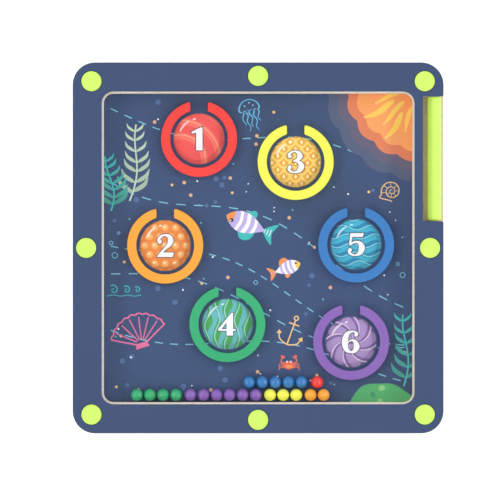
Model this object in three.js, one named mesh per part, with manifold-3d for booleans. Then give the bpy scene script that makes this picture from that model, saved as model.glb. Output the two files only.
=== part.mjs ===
// A magnetic bead maze board: a square wooden frame under whose clear cover coloured beads are
// drawn along by a magnet-tipped pen, into six open rings that each hold a set number of beads.
// Millimetres, +Z up out of the play face, +Y up the face, origin at the middle of the back.
import * as THREE from 'three';
import { mergeVertices } from 'three/addons/utils/BufferGeometryUtils.js';
import Module from 'manifold-3d';

// Board, from the back to the front.
const BOARD_SIDE = 300;
const BOARD_CORNER_RADIUS = 18;
const BASE_THICKNESS = 3;
const SHEET_THICKNESS = 0.6;
const FRONT_THICKNESS = 4.1;
const EDGE_BEVEL = 0.5;

// Play chamber, the hollow that the beads roll in.
const CHAMBER_CORNER_RADIUS = 8;
const BEAD_HEADROOM = 0.6;
const LEDGE_WIDTH = 1.5;

// Clear cover, let into a rebate of the wall frame.
const COVER_THICKNESS = 1.5;
const COVER_PLAY = 0.2;
const REBATE_WIDTH = 5;
const LET_IN_CLEARANCE = 0.3;

// Rings, open at the top of the board, so that a bead can be led in. Their width is a share of
// the chamber's, so that the same six fit a board of another size.
const RING_CHAMBER_SHARE = 0.2464;
const RING_WALL = 7.4;
const RING_MOUTH = 14.2;
const RING_HEIGHT = 6;

// Beads, and the two rows that they lie in.
const BEAD_DIAMETER = 10;
const BEAD_GAP = 0.57;
const COLOUR_GAP = 1.05;
const SINGLE_BEAD_GAP = 2.2;
const BEAD_WALL_GAP = 1;
const ROW_GAP = 0.3;
const BEAD_SEAT_GAP = 0.2;
const ROW_START = 26.9;

// Screws, and the caps that hide them.
const CAP_DIAMETER = 16.4;
const CAP_THICKNESS = 2;
const CAP_RECESS = 1.2;
const CAP_EDGE_RADIUS = 0.6;
const CAP_CLEARANCE = 0.3;
const CAP_ROOF = 1.3;
const CORNER_CAP_MARGIN = 7;
const SIDE_CAP_MARGIN = 2.7;
const SCREW_HEAD_DIAMETER = 6.4;
const SCREW_HEAD_HEIGHT = 1.8;
const SCREW_CROWN_SHARE = 0.7;
const SCREW_SINK = 1.5;
const SCREW_SHANK_DIAMETER = 2.8;
const SCREW_LENGTH = 12;
const SCREW_POINT_LENGTH = 2.5;
const SCREW_CLEARANCE = 0.3;
const DRIVE_WIDTH = 0.9;
const DRIVE_SPAN = 3.6;
const DRIVE_DEPTH = 1;

// Pen, and the notch in the right edge that stores it.
const PEN_DIAMETER = 11.1;
const PEN_LENGTH = 100;
const PEN_TAIL_RADIUS = 2.4;
const PEN_TIP_THICKNESS = 2;
const PEN_TIP_SPIGOT = 1;
const PEN_EDGE_SETBACK = 1.85;
const PEN_SEAT_GAP = 0.2;
const PEN_END_GAP = 0.3;
const MAGNET_DIAMETER = 8;
const MAGNET_LENGTH = 6;
const MAGNET_CLEARANCE = 0.2;
const FINGER_GAP = 3.65;
const NOTCH_WALL = 3.4;
const NOTCH_END_PLAY = 0.6;
const NOTCH_CAP_MARGIN = 4.1;
const KEEPER_DIAMETER = 8;
const KEEPER_LENGTH = 2.5;
const KEEPER_CLEARANCE = 0.2;

// Levels, worked out from the stack.
const SHEET_TOP = BASE_THICKNESS + SHEET_THICKNESS;
const REBATE_FLOOR = SHEET_TOP + BEAD_DIAMETER + BEAD_HEADROOM;
const WALL_TOP = REBATE_FLOOR + COVER_THICKNESS + COVER_PLAY;
const FRONT_TOP = WALL_TOP + FRONT_THICKNESS;

// Places on the face, worked out from the sizes above.
const NOTCH_DEPTH = PEN_EDGE_SETBACK + PEN_DIAMETER + FINGER_GAP;
const CHAMBER_SIDE = BOARD_SIDE - 2 * (NOTCH_DEPTH + NOTCH_WALL + REBATE_WIDTH);
const BOARD_HALF = BOARD_SIDE / 2;
const CHAMBER_HALF = CHAMBER_SIDE / 2;
const RING_OUTER_DIAMETER = RING_CHAMBER_SHARE * CHAMBER_SIDE;
const WINDOW_SIDE = CHAMBER_SIDE + 2 * LEDGE_WIDTH;
const WINDOW_CORNER_RADIUS = CHAMBER_CORNER_RADIUS + LEDGE_WIDTH;
const REBATE_SIDE = CHAMBER_SIDE + 2 * REBATE_WIDTH;
const REBATE_CORNER_RADIUS = CHAMBER_CORNER_RADIUS + REBATE_WIDTH;
const CAP_RADIUS = CAP_DIAMETER / 2;
const CORNER_SCREW_INSET = CORNER_CAP_MARGIN + CAP_RADIUS;
const SIDE_SCREW_INSET = SIDE_CAP_MARGIN + CAP_RADIUS;
const NOTCH_TOP = BOARD_HALF - CORNER_SCREW_INSET - CAP_RADIUS - NOTCH_CAP_MARGIN;
const NOTCH_LENGTH = PEN_LENGTH + PEN_END_GAP + NOTCH_END_PLAY;
const NOTCH_BOTTOM = NOTCH_TOP - NOTCH_LENGTH;
const PEN_RADIUS = PEN_DIAMETER / 2;
const PEN_X = BOARD_HALF - PEN_EDGE_SETBACK - PEN_RADIUS;
const PEN_Z = BASE_THICKNESS + PEN_SEAT_GAP + PEN_RADIUS;
const PEN_TOP = NOTCH_TOP - PEN_END_GAP;

// Steps in the round shapes.
const CORNER_STEPS = 5;
const ARC_STEPS = 20;
const TAIL_STEPS = 3;
const TURNED_STEPS = 20;
const SMALL_TURNED_STEPS = 12;
const BEAD_SPLIT_STEPS = 2;

// How far the cuts run on, and how near two corners of a mesh count as one.
const CUT_OVERRUN = 1;
const WELD_DISTANCE = 0.0001;

// The rings stand in ranks, from the bottom one up, and each rank from left to right. A ring's
// shares are those of its rank's free width on its left, and of its file's free height below it.
const RING_RANKS = [['green', 'purple'], ['orange', 'blue'], ['red', 'yellow']];
const RING_PLACE_SHARES = {
  red: [0.366, 0.878],
  orange: [0.15, 0.368],
  yellow: [0.497, 0.567],
  green: [0.547, 0.326],
  blue: [0.883, 0.473],
  purple: [0.851, 0.168],
};

// The beads in each row from the left: the colour, and how many lie side by side.
const BOTTOM_ROW = [['green', 4], ['purple', 6], ['yellow', 3], ['orange', 2]];
const UPPER_ROW = [['blue', 5]];
const SINGLE_BEAD = ['red', 1];
const BEADS_LEFT_OF_UPPER_ROW_COUNT = 9;

const INK = { red: 0xfc514d, orange: 0xfdb04b, yellow: 0xfefe66, green: 0x48b47f, blue: 0x4884c7,
  purple: 0x906fbc };

function finish(color, roughness, metalness = 0, more = {}) {
  return new THREE.MeshStandardMaterial({ color, roughness, metalness, ...more });
}

// One finish for each of the six colours.
function paints(roughness) {
  return Object.fromEntries(Object.entries(INK).map(([name, hex]) => [name, finish(hex, roughness)]));
}

const navyPaint = finish(0x495b81, 0.55);
const paleWood = finish(0xeadcc4, 0.7);
const printedCard = finish(0x46567a, 0.6);
const clearAcrylic = finish(0xf4f8fa, 0.05, 0, { transparent: true, opacity: 0.12 });
const limePlastic = finish(0xdeff7a, 0.4);
const steel = finish(0xb9bcc0, 0.3, 1);
const beadPaint = paints(0.25);
const ringPaint = paints(0.45);

const wasm = await Module();
wasm.setup();

// A closed geometry as a solid that can be cut.
function solid(geometry) {
  const bare = geometry.index ? geometry.toNonIndexed() : geometry.clone();
  bare.deleteAttribute('normal');
  bare.deleteAttribute('uv');
  const merged = mergeVertices(bare, WELD_DISTANCE);
  const vertProperties = merged.attributes.position.array;
  const triVerts = new Uint32Array(merged.index.array);
  return new wasm.Manifold(new wasm.Mesh({ numProp: 3, vertProperties, triVerts }));
}

// A body with each of the cuts taken out of it, back as a geometry.
function cutOut(body, cuts) {
  const cut = cuts.reduce((left, tool) => left.subtract(solid(tool)), solid(body)).getMesh();
  const geometry = new THREE.BufferGeometry();
  geometry.setAttribute('position', new THREE.BufferAttribute(new Float32Array(cut.vertProperties), 3));
  geometry.setIndex(new THREE.BufferAttribute(new Uint32Array(cut.triVerts), 1));
  return geometry;
}

// A square outline with round corners, centred on the origin.
function roundedSquare(Outline, side, radius) {
  const flat = side / 2 - radius;
  const outline = new Outline();
  outline.absarc(flat, flat, radius, 0, Math.PI / 2);
  outline.absarc(-flat, flat, radius, Math.PI / 2, Math.PI);
  outline.absarc(-flat, -flat, radius, Math.PI, 1.5 * Math.PI);
  outline.absarc(flat, -flat, radius, 1.5 * Math.PI, 2 * Math.PI);
  return outline;
}

// An outline raised from one level to another, with sharp edges or a small bevel along both.
function slab(outline, bottom, top, curveSegments = CORNER_STEPS, bevel = 0) {
  const settings = { depth: top - bottom - 2 * bevel, curveSegments, bevelEnabled: bevel > 0,
    bevelThickness: bevel, bevelSize: bevel, bevelOffset: -bevel, bevelSegments: 1 };
  return new THREE.ExtrudeGeometry(outline, settings).translate(0, 0, bottom + bevel);
}

// A square slab with round corners.
function squareSlab(side, radius, bottom, top) {
  return slab(roundedSquare(THREE.Shape, side, radius), bottom, top);
}

// A profile of [radius, height] points turned round a standing axis at x, y.
function turned(profile, x, y, steps = TURNED_STEPS) {
  const points = profile.map(([radius, height]) => new THREE.Vector2(radius, height));
  return new THREE.LatheGeometry(points, steps).rotateX(Math.PI / 2).translate(x, y, 0);
}

// A standing cylinder between two levels.
function standingRod(radius, bottom, top, x, y, steps = TURNED_STEPS) {
  return turned([[0, bottom], [radius, bottom], [radius, top], [0, top]], x, y, steps);
}

// A profile of [radius, y] points turned round the pen's lying axis.
function turnedOnPen(profile) {
  const points = profile.map(([radius, y]) => new THREE.Vector2(radius, y));
  return new THREE.LatheGeometry(points, TURNED_STEPS).translate(PEN_X, 0, PEN_Z);
}

// The notch for the pen, as a block that runs out past the board's right edge and top.
function notchBlock(bottom) {
  const depth = NOTCH_DEPTH + CUT_OVERRUN;
  const height = FRONT_TOP + CUT_OVERRUN - bottom;
  const x = BOARD_HALF - NOTCH_DEPTH + depth / 2;
  const y = (NOTCH_TOP + NOTCH_BOTTOM) / 2;
  return new THREE.BoxGeometry(depth, NOTCH_LENGTH, height).translate(x, y, bottom + height / 2);
}

// Where the eight screws stand: one in each corner, and one in the middle of each side, which on
// the notched side keeps clear of the notch.
function screwPlaces() {
  const corner = BOARD_HALF - CORNER_SCREW_INSET;
  const side = BOARD_HALF - SIDE_SCREW_INSET;
  const belowNotch = NOTCH_BOTTOM - NOTCH_CAP_MARGIN - CAP_RADIUS;
  return [
    ['top_left', -corner, corner], ['top', 0, side], ['top_right', corner, corner],
    ['right', side, Math.min(0, belowNotch)],
    ['bottom_right', corner, -corner], ['bottom', 0, -side], ['bottom_left', -corner, -corner],
    ['left', -side, 0],
  ];
}

const CAP_BOTTOM = FRONT_TOP - CAP_RECESS;
const SCREW_SEAT = CAP_BOTTOM - SCREW_SINK;
const SCREW_HEAD_TOP = SCREW_SEAT + SCREW_HEAD_HEIGHT;
const SCREW_END = SCREW_SEAT - SCREW_LENGTH;

// The radius of the hole that a screw's shank runs in.
function pilotRadius() {
  return SCREW_SHANK_DIAMETER / 2 + SCREW_CLEARANCE;
}

function baseBoard() {
  return squareSlab(BOARD_SIDE, BOARD_CORNER_RADIUS, 0, BASE_THICKNESS);
}

function playSheet() {
  const side = CHAMBER_SIDE - 2 * LET_IN_CLEARANCE;
  return squareSlab(side, CHAMBER_CORNER_RADIUS - LET_IN_CLEARANCE, BASE_THICKNESS, SHEET_TOP);
}

// The deep middle frame, whose window is the chamber's wall, with a rebate for the cover.
function wallFrame() {
  const outline = roundedSquare(THREE.Shape, BOARD_SIDE, BOARD_CORNER_RADIUS);
  outline.holes.push(roundedSquare(THREE.Path, CHAMBER_SIDE, CHAMBER_CORNER_RADIUS));
  const rebate = squareSlab(REBATE_SIDE, REBATE_CORNER_RADIUS, REBATE_FLOOR, WALL_TOP + CUT_OVERRUN);
  const pilots = screwPlaces().map(([, x, y]) => standingRod(
    pilotRadius(), SCREW_END - SCREW_CLEARANCE, WALL_TOP + CUT_OVERRUN, x, y, SMALL_TURNED_STEPS));
  const keeperHole = turnedOnPen(rodProfile(KEEPER_DIAMETER / 2 + KEEPER_CLEARANCE,
    NOTCH_TOP - CUT_OVERRUN, NOTCH_TOP + KEEPER_LENGTH + KEEPER_CLEARANCE));
  return cutOut(slab(outline, BASE_THICKNESS, WALL_TOP), [
    rebate, notchBlock(BASE_THICKNESS - CUT_OVERRUN), keeperHole, ...pilots]);
}

function clearCover() {
  const side = REBATE_SIDE - 2 * LET_IN_CLEARANCE;
  const radius = REBATE_CORNER_RADIUS - LET_IN_CLEARANCE;
  return squareSlab(side, radius, REBATE_FLOOR, REBATE_FLOOR + COVER_THICKNESS);
}

// The painted front frame, with its window, the caps' recesses and the screws' seats.
function frontFrame() {
  const outline = roundedSquare(THREE.Shape, BOARD_SIDE, BOARD_CORNER_RADIUS);
  outline.holes.push(roundedSquare(THREE.Path, WINDOW_SIDE, WINDOW_CORNER_RADIUS));
  const over = FRONT_TOP + CUT_OVERRUN;
  const cuts = screwPlaces().flatMap(([, x, y]) => [
    standingRod(CAP_RADIUS + CAP_CLEARANCE, CAP_BOTTOM, over, x, y),
    standingRod(SCREW_HEAD_DIAMETER / 2 + SCREW_CLEARANCE, SCREW_SEAT, over, x, y, SMALL_TURNED_STEPS),
    standingRod(pilotRadius(), WALL_TOP - CUT_OVERRUN, over, x, y, SMALL_TURNED_STEPS),
  ]);
  const body = slab(outline, WALL_TOP, FRONT_TOP, CORNER_STEPS, EDGE_BEVEL);
  return cutOut(body, [notchBlock(WALL_TOP - CUT_OVERRUN), ...cuts]);
}

// A ring round its own centre: two arcs joined by the straight, parallel sides of its mouth.
function ringOutline() {
  const outer = RING_OUTER_DIAMETER / 2;
  const bore = outer - RING_WALL;
  const outerStart = Math.PI / 2 + Math.asin(RING_MOUTH / 2 / outer);
  const boreStart = Math.PI / 2 + Math.asin(RING_MOUTH / 2 / bore);
  const outline = new THREE.Shape();
  outline.absarc(0, 0, outer, outerStart, 3 * Math.PI - outerStart, false);
  outline.absarc(0, 0, bore, 3 * Math.PI - boreStart, boreStart, true);
  return outline;
}

// The x of a ring's centre, from how many rings share its rank.
function ringX(rank, file) {
  const [leftShare] = RING_PLACE_SHARES[RING_RANKS[rank][file]];
  const freeWidth = CHAMBER_SIDE - RING_RANKS[rank].length * RING_OUTER_DIAMETER;
  return -CHAMBER_HALF + leftShare * freeWidth + (file + 0.5) * RING_OUTER_DIAMETER;
}

// The lowest centre of a ring at x that clears the rows of beads.
function lowestRingY(x) {
  const reach = (RING_OUTER_DIAMETER + BEAD_DIAMETER) / 2;
  const heights = beadPlaces()
    .filter(([, , beadX]) => Math.abs(x - beadX) < reach)
    .map(([, , beadX, beadY]) => beadY + Math.sqrt(reach ** 2 - (x - beadX) ** 2));
  return Math.max(RING_OUTER_DIAMETER / 2 - CHAMBER_HALF, ...heights);
}

// A ring in its place: clear of the beads, with room for the rings below and above it in its file.
function ring(colour, rank, file) {
  const [, belowShare] = RING_PLACE_SHARES[colour];
  const lowest = lowestRingY(ringX(0, file));
  const highest = CHAMBER_HALF - (RING_RANKS.length - 0.5) * RING_OUTER_DIAMETER;
  const y = lowest + belowShare * (highest - lowest) + rank * RING_OUTER_DIAMETER;
  return slab(ringOutline(), SHEET_TOP, SHEET_TOP + RING_HEIGHT, ARC_STEPS)
    .translate(ringX(rank, file), y, 0);
}

function bottomRowY() {
  return -CHAMBER_HALF + BEAD_WALL_GAP + BEAD_DIAMETER / 2;
}

// The x of each bead in a row, as [colour, number, x], from the x of the first.
function row(groups, start) {
  const places = [];
  let x = start;
  for (const [colour, count] of groups) {
    for (let number = 1; number <= count; number += 1) {
      places.push([colour, number, x]);
      x += BEAD_DIAMETER + BEAD_GAP;
    }
    x += COLOUR_GAP;
  }
  return places;
}

// Every bead as [colour, number, x, y]. The upper row starts over the gap between two beads below.
function beadPlaces() {
  const bottom = row(BOTTOM_ROW, -CHAMBER_HALF + ROW_START);
  const [beside, above] = bottom.slice(BEADS_LEFT_OF_UPPER_ROW_COUNT - 1).map(([, , x]) => x);
  const upperStart = (beside + above) / 2;
  const upper = row(UPPER_ROW, upperStart);
  const singleX = upper.at(-1)[2] + BEAD_DIAMETER + BEAD_GAP + SINGLE_BEAD_GAP;
  const lowY = bottomRowY();
  const highY = lowY + BEAD_DIAMETER + ROW_GAP;
  return [
    ...bottom.map((bead) => [...bead, lowY]),
    ...[...upper, [...SINGLE_BEAD, singleX]].map((bead) => [...bead, highY]),
  ];
}

function bead(x, y) {
  const radius = BEAD_DIAMETER / 2;
  const z = SHEET_TOP + BEAD_SEAT_GAP + radius;
  return new THREE.IcosahedronGeometry(radius, BEAD_SPLIT_STEPS).translate(x, y, z);
}

// A cap: a disc with a rounded top edge, hollow beneath where it clears the screw's head.
function cap(x, y) {
  const pocket = SCREW_HEAD_DIAMETER / 2 + SCREW_CLEARANCE;
  const top = CAP_BOTTOM + CAP_THICKNESS;
  const edge = Math.SQRT1_2 * CAP_EDGE_RADIUS;
  return turned([
    [0, top - CAP_ROOF], [pocket, top - CAP_ROOF], [pocket, CAP_BOTTOM], [CAP_RADIUS, CAP_BOTTOM],
    [CAP_RADIUS, top - CAP_EDGE_RADIUS],
    [CAP_RADIUS - CAP_EDGE_RADIUS + edge, top - CAP_EDGE_RADIUS + edge],
    [CAP_RADIUS - CAP_EDGE_RADIUS, top], [0, top],
  ], x, y);
}

// A pan-head screw with a cross drive.
function screw(x, y) {
  const head = SCREW_HEAD_DIAMETER / 2;
  const shank = SCREW_SHANK_DIAMETER / 2;
  const body = turned([
    [0, SCREW_END], [shank, SCREW_END + SCREW_POINT_LENGTH], [shank, SCREW_SEAT],
    [head, SCREW_SEAT], [head, SCREW_SEAT + SCREW_HEAD_HEIGHT / 2],
    [head * SCREW_CROWN_SHARE, SCREW_HEAD_TOP], [0, SCREW_HEAD_TOP],
  ], x, y, SMALL_TURNED_STEPS);
  const slots = [[DRIVE_SPAN, DRIVE_WIDTH], [DRIVE_WIDTH, DRIVE_SPAN]].map(([width, depth]) =>
    new THREE.BoxGeometry(width, depth, 2 * DRIVE_DEPTH).translate(x, y, SCREW_HEAD_TOP));
  return cutOut(body, slots);
}

// Half of the section of a plain rod between two places on the pen's axis.
function rodProfile(radius, low, high) {
  return [[0, low], [radius, low], [radius, high], [0, high]];
}

// The barrel: a rod with a round tail, bored at its tip end for the magnet.
function penBarrel() {
  const tail = PEN_TOP - PEN_LENGTH;
  const mouth = PEN_TOP - PEN_TIP_THICKNESS;
  const bore = MAGNET_DIAMETER / 2 + MAGNET_CLEARANCE;
  const boreEnd = mouth - PEN_TIP_SPIGOT - MAGNET_LENGTH - 2 * MAGNET_CLEARANCE;
  const round = Array.from({ length: TAIL_STEPS + 1 }, (_, step) => {
    const angle = (step / TAIL_STEPS) * (Math.PI / 2);
    const radius = PEN_RADIUS - PEN_TAIL_RADIUS * (1 - Math.sin(angle));
    return [radius, tail + PEN_TAIL_RADIUS * (1 - Math.cos(angle))];
  });
  return turnedOnPen([
    [0, tail], ...round, [PEN_RADIUS, mouth], [bore, mouth], [bore, boreEnd], [0, boreEnd]]);
}

function penMagnet() {
  const top = PEN_TOP - PEN_TIP_THICKNESS - PEN_TIP_SPIGOT - MAGNET_CLEARANCE;
  return turnedOnPen(rodProfile(MAGNET_DIAMETER / 2, top - MAGNET_LENGTH, top));
}

// The tip: a disc over the magnet, with a spigot that plugs the bore.
function penTip() {
  const seat = PEN_TOP - PEN_TIP_THICKNESS;
  const spigot = MAGNET_DIAMETER / 2;
  return turnedOnPen([[0, seat - PEN_TIP_SPIGOT], [spigot, seat - PEN_TIP_SPIGOT], [spigot, seat],
    [PEN_RADIUS, seat], [PEN_RADIUS, PEN_TOP], [0, PEN_TOP]]);
}

// The steel plug in the notch's end wall, which the pen's magnet clings to.
function penKeeper() {
  return turnedOnPen(rodProfile(KEEPER_DIAMETER / 2, NOTCH_TOP, NOTCH_TOP + KEEPER_LENGTH));
}

const board = new THREE.Group();

function add(name, geometry, material) {
  const mesh = new THREE.Mesh(geometry, material);
  mesh.name = name;
  board.add(mesh);
}

add('base_board', baseBoard(), paleWood);
add('play_sheet', playSheet(), printedCard);
add('wall_frame', wallFrame(), paleWood);
add('clear_cover', clearCover(), clearAcrylic);
add('front_frame', frontFrame(), navyPaint);
RING_RANKS.forEach((colours, rank) => colours.forEach((colour, file) => {
  add(`ring_${colour}`, ring(colour, rank, file), ringPaint[colour]);
}));
for (const [place, x, y] of screwPlaces()) {
  add(`screw_${place}`, screw(x, y), steel);
  add(`cap_${place}`, cap(x, y), limePlastic);
}
for (const [colour, number, x, y] of beadPlaces()) {
  add(`bead_${colour}_${number}`, bead(x, y), beadPaint[colour]);
}
add('pen_barrel', penBarrel(), limePlastic);
add('pen_magnet', penMagnet(), steel);
add('pen_tip', penTip(), limePlastic);
add('pen_keeper', penKeeper(), steel);

export default board;
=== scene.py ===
"""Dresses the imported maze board: fine pieces, their finishes, the printed sheet and the stage.

Lengths in the shape functions are millimetres, and make_piece turns them into metres.
"""

import bpy
import numpy as np
from bpy.props import FloatProperty, FloatVectorProperty, PointerProperty
from mathutils.geometry import delaunay_2d_cdt
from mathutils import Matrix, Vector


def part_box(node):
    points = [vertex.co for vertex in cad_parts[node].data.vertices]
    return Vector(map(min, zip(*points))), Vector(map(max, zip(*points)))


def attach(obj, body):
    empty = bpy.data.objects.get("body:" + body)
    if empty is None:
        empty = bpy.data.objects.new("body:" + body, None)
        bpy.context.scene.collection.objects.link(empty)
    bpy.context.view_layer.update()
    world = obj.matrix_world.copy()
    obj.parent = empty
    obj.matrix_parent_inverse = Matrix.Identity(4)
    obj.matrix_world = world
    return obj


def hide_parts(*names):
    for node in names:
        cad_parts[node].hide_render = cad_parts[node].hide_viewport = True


bl_info = {
    "name": "Magnetic Maze Board",
    "version": (1, 0, 0),
    "blender": (4, 5, 0),
    "location": "View3D > Sidebar > Maze Board",
    "description": "Builds the looks of a magnetic bead maze board",
    "category": "Add Mesh",
}

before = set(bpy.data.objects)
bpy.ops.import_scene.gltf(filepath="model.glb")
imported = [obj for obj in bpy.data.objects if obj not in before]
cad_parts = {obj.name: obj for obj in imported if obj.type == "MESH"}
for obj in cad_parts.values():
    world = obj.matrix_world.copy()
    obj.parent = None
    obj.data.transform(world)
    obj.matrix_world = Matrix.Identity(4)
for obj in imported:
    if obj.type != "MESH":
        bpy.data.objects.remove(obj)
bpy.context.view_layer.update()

MM = 0.001
FULL_TURN = 2 * np.pi
COLOURS = ("red", "orange", "yellow", "green", "blue", "purple")


def node_box(name):
    """A CAD node's lowest and highest corners in millimetres."""
    return tuple(np.array(corner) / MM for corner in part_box(name))


def nodes_named(start):
    """The names of the CAD nodes that start with a word."""
    return sorted(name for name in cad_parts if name.startswith(start))


# Sizes that the pieces share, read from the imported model.
BOARD_LOW, BOARD_HIGH = node_box("base_board")
BOARD_HALF = BOARD_HIGH[0]
BASE_TOP = BOARD_HIGH[2]
FRONT_BOTTOM, FRONT_TOP = (corner[2] for corner in node_box("front_frame"))
COVER_LOW, COVER_HIGH = node_box("clear_cover")
SHEET_LOW, SHEET_HIGH = node_box("play_sheet")
PEN_LOW = node_box("pen_barrel")[0]
PEN_HIGH = node_box("pen_tip")[1]
PEN_RADIUS = (PEN_HIGH[0] - PEN_LOW[0]) / 2
PEN_X = PEN_LOW[0] + PEN_RADIUS
PEN_Z = PEN_LOW[2] + PEN_RADIUS
KEEPER_LOW, KEEPER_HIGH = node_box("pen_keeper")
NOTCH_TOP = KEEPER_LOW[1]
CAPS = nodes_named("cap_")
BEADS = nodes_named("bead_")
SCREWS = nodes_named("screw_")

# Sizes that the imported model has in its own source, and that its boxes don't give.
BOARD_CORNER_RADIUS = 18
CHAMBER_CORNER_RADIUS = 8
LET_IN_CLEARANCE = 0.3
REBATE_WIDTH = 5
LEDGE_WIDTH = 1.5
NOTCH_WIDTH = 16.6
NOTCH_LENGTH = 100.9
NOTCH_MOUTH_RADIUS = 1.4
NOTCH_CORNER_RADIUS = 0.5
CAP_CLEARANCE = 0.3
CAP_POCKET_RADIUS = 3.5
CAP_POCKET_ROOF = 1.3
SCREW_SEAT = 17.3
SCREW_HOLE_RADIUS = 1.7
SCREW_HOLE_END = 5.0
KEEPER_CLEARANCE = 0.2
RING_WALL = 7.4
RING_MOUTH = 14.2
PEN_TAIL_RADIUS = 2.4
PEN_TIP_THICKNESS = 2
PEN_SPIGOT = 1
PEN_SPIGOT_CLEARANCE = 0.2
MAGNET_BORE_RADIUS = 4.2
MAGNET_BORE_DEPTH = 7.4
CHAMBER_HALF = SHEET_HIGH[0] + LET_IN_CLEARANCE
PEN_MOUTH = PEN_HIGH[1] - PEN_TIP_THICKNESS

# How finely the shapes are divided: points of a corner's arc, and round a full turn.
CORNER_POINTS = 11
SCREW_HOLE_POINTS = 24
KEEPER_HOLE_POINTS = 32
BEAD_POINTS = 48
PEN_POINTS = 64
CAP_POINTS = 72
DISC_POINTS = 96

# The pen's notch in a wall along board_path, by columns: the first of its walls, and its end wall.
NOTCH_START = 3 * CORNER_POINTS - 1
NOTCH_END_WALL = 5 * CORNER_POINTS - 1

# Points nearer than SAME_PLACE are one, and triangles smaller than NO_AREA are none. A turned piece's
# ends have a flat middle of radius TURNED_MIDDLE, and edges over SHARP_ANGLE degrees are sharp. The
# middle of a quarter circle stands in from its corner by a share of its radius, ARC_MIDDLE.
SAME_PLACE = 1e-5
SAME_PLACE_DIGITS = 5
NO_AREA = 1e-9
TURNED_MIDDLE = 0.5
SHARP_ANGLE = 40
ARC_MIDDLE = 0.3


def srgb(red, green, blue):
    """A colour given in screen values from 0 to 255, as linear light."""
    share = np.array((red, green, blue)) / 255
    return tuple(np.where(share <= 0.04045, share / 12.92, ((share + 0.055) / 1.055) ** 2.4))


def ring_centre(colour):
    """The middle of a ring, whose box is cut short by the mouth at its top edge, and its radius."""
    low, high = node_box(f"ring_{colour}")
    radius = (high[0] - low[0]) / 2
    return low[0] + radius, low[1] + radius, radius


def cap_centre(name):
    """The middle of a screw cap, and its radius."""
    low, high = node_box(name)
    return (low[0] + high[0]) / 2, (low[1] + high[1]) / 2, (high[0] - low[0]) / 2


def ray(angle):
    """Unit vectors at the angles: their cosine and sine, on a last axis."""
    return np.stack((np.cos(angle), np.sin(angle)), axis=-1)


def turn_angles(points):
    """Even angles round a full turn."""
    return np.arange(points) / points * FULL_TURN


def right_hand(way):
    """Vectors turned by a quarter to their right hand."""
    return np.stack((way[:, 1], -way[:, 0]), axis=1)


def side_ways(corners):
    """The unit vector of a polygon's side up to each corner."""
    side = corners - np.roll(corners, 1, axis=0)
    return side / np.linalg.norm(side, axis=1, keepdims=True)


def flat_at(flat, level):
    """Points of a plan, at one height."""
    return np.column_stack((flat, np.full(len(flat), level)))


# Shapes

class Surface:
    """Points and faces of one closed piece, gathered part by part."""

    def __init__(self):
        self.points = []
        self.faces = []
        self.finishes = []
        self.count = 0

    def add(self, points, *face_sets, finish=0):
        """Points with sets of faces between them."""
        for faces in face_sets:
            self.faces += (np.asarray(faces) + self.count).tolist()
            self.finishes.append(np.broadcast_to(finish, len(faces)))
        self.points.append(points)
        self.count += len(points)

    def add_grid(self, grid, skip=None, finish=0):
        """A grid of points whose columns close on themselves, as quads, but for one that may be skipped.
        The finish is one number, or one for each quad by row and column."""
        rows, columns = grid.shape[:2]
        index = np.arange(rows * columns).reshape(rows, columns)
        right = np.roll(index, -1, axis=1)
        quads = np.stack((index[:-1], right[:-1], right[1:], index[1:]), axis=-1).reshape(-1, 4)
        finish = np.broadcast_to(finish, (rows - 1, columns)).ravel()
        if skip is not None:
            gap = skip[0] * columns + skip[1]
            quads, finish = np.delete(quads, gap, axis=0), np.delete(finish, gap)
        self.add(grid.reshape(-1, 3), quads, finish=finish)

    def add_disc(self, loop, flip=False):
        """One flat face round a loop."""
        order = np.arange(len(loop))
        self.add(loop, [order[::-1] if flip else order])

    def add_fan(self, tip, loop, flip=False):
        """Triangles from a tip to each side of a loop."""
        order = np.arange(len(loop)) + 1
        sides = np.stack((np.zeros_like(order), order, np.roll(order, -1)), axis=1)
        self.add(np.vstack((tip, loop)), sides[:, ::-1] if flip else sides)

    def add_level(self, loops, level, up=True):
        """The flat face between an outer loop and the loops of its holes, at one height."""
        flat, triangles = fill([loop[:, :2] for loop in loops])
        self.add(flat_at(flat, level), triangles if up else triangles[:, ::-1])


def closed_edges(loops):
    """The sides of closed loops, as pairs of places in the list of all their points."""
    edges, start = [], 0
    for loop in loops:
        order = np.arange(len(loop))
        edges.append(np.stack((order, np.roll(order, -1)), axis=1) + start)
        start += len(loop)
    return np.vstack(edges)


def covers(loops, points):
    """Whether each point lies within the loops: those that wind round it don't cancel out."""
    turns = np.zeros(len(points), int)
    for loop in loops:
        near = np.flatnonzero(np.all((points >= loop.min(0)) & (points <= loop.max(0)), axis=1))
        x, y = points[near, 0][:, None], points[near, 1][:, None]
        (ax, ay), (bx, by) = loop.T, np.roll(loop, -1, axis=0).T
        left = (bx - ax) * (y - ay) - (x - ax) * (by - ay)
        rising, falling = (ay <= y) & (by > y) & (left > 0), (ay > y) & (by <= y) & (left < 0)
        turns[near] += rising.sum(1) - falling.sum(1)
    return turns != 0


def triangulate(loops):
    """Triangles that keep every side of the loops, each turned to face up. Their points are the loops'
    own, which the triangulation gives back rounded, and those where sides cross."""
    points = np.vstack(loops)
    sides = closed_edges(loops).tolist()
    found, _, faces, origins, *_ = delaunay_2d_cdt(points.tolist(), sides, [], 0, SAME_PLACE)
    flat = np.array([points[origin[0]] if origin else tuple(point)
                     for point, origin in zip(found, origins)])
    faces = np.array(faces)
    a, b, c = (flat[faces[:, side]] for side in range(3))
    area = (b - a)[:, 0] * (c - a)[:, 1] - (b - a)[:, 1] * (c - a)[:, 0]
    faces[area < 0] = faces[area < 0][:, ::-1]
    return flat, faces[np.abs(area) > NO_AREA]


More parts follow.
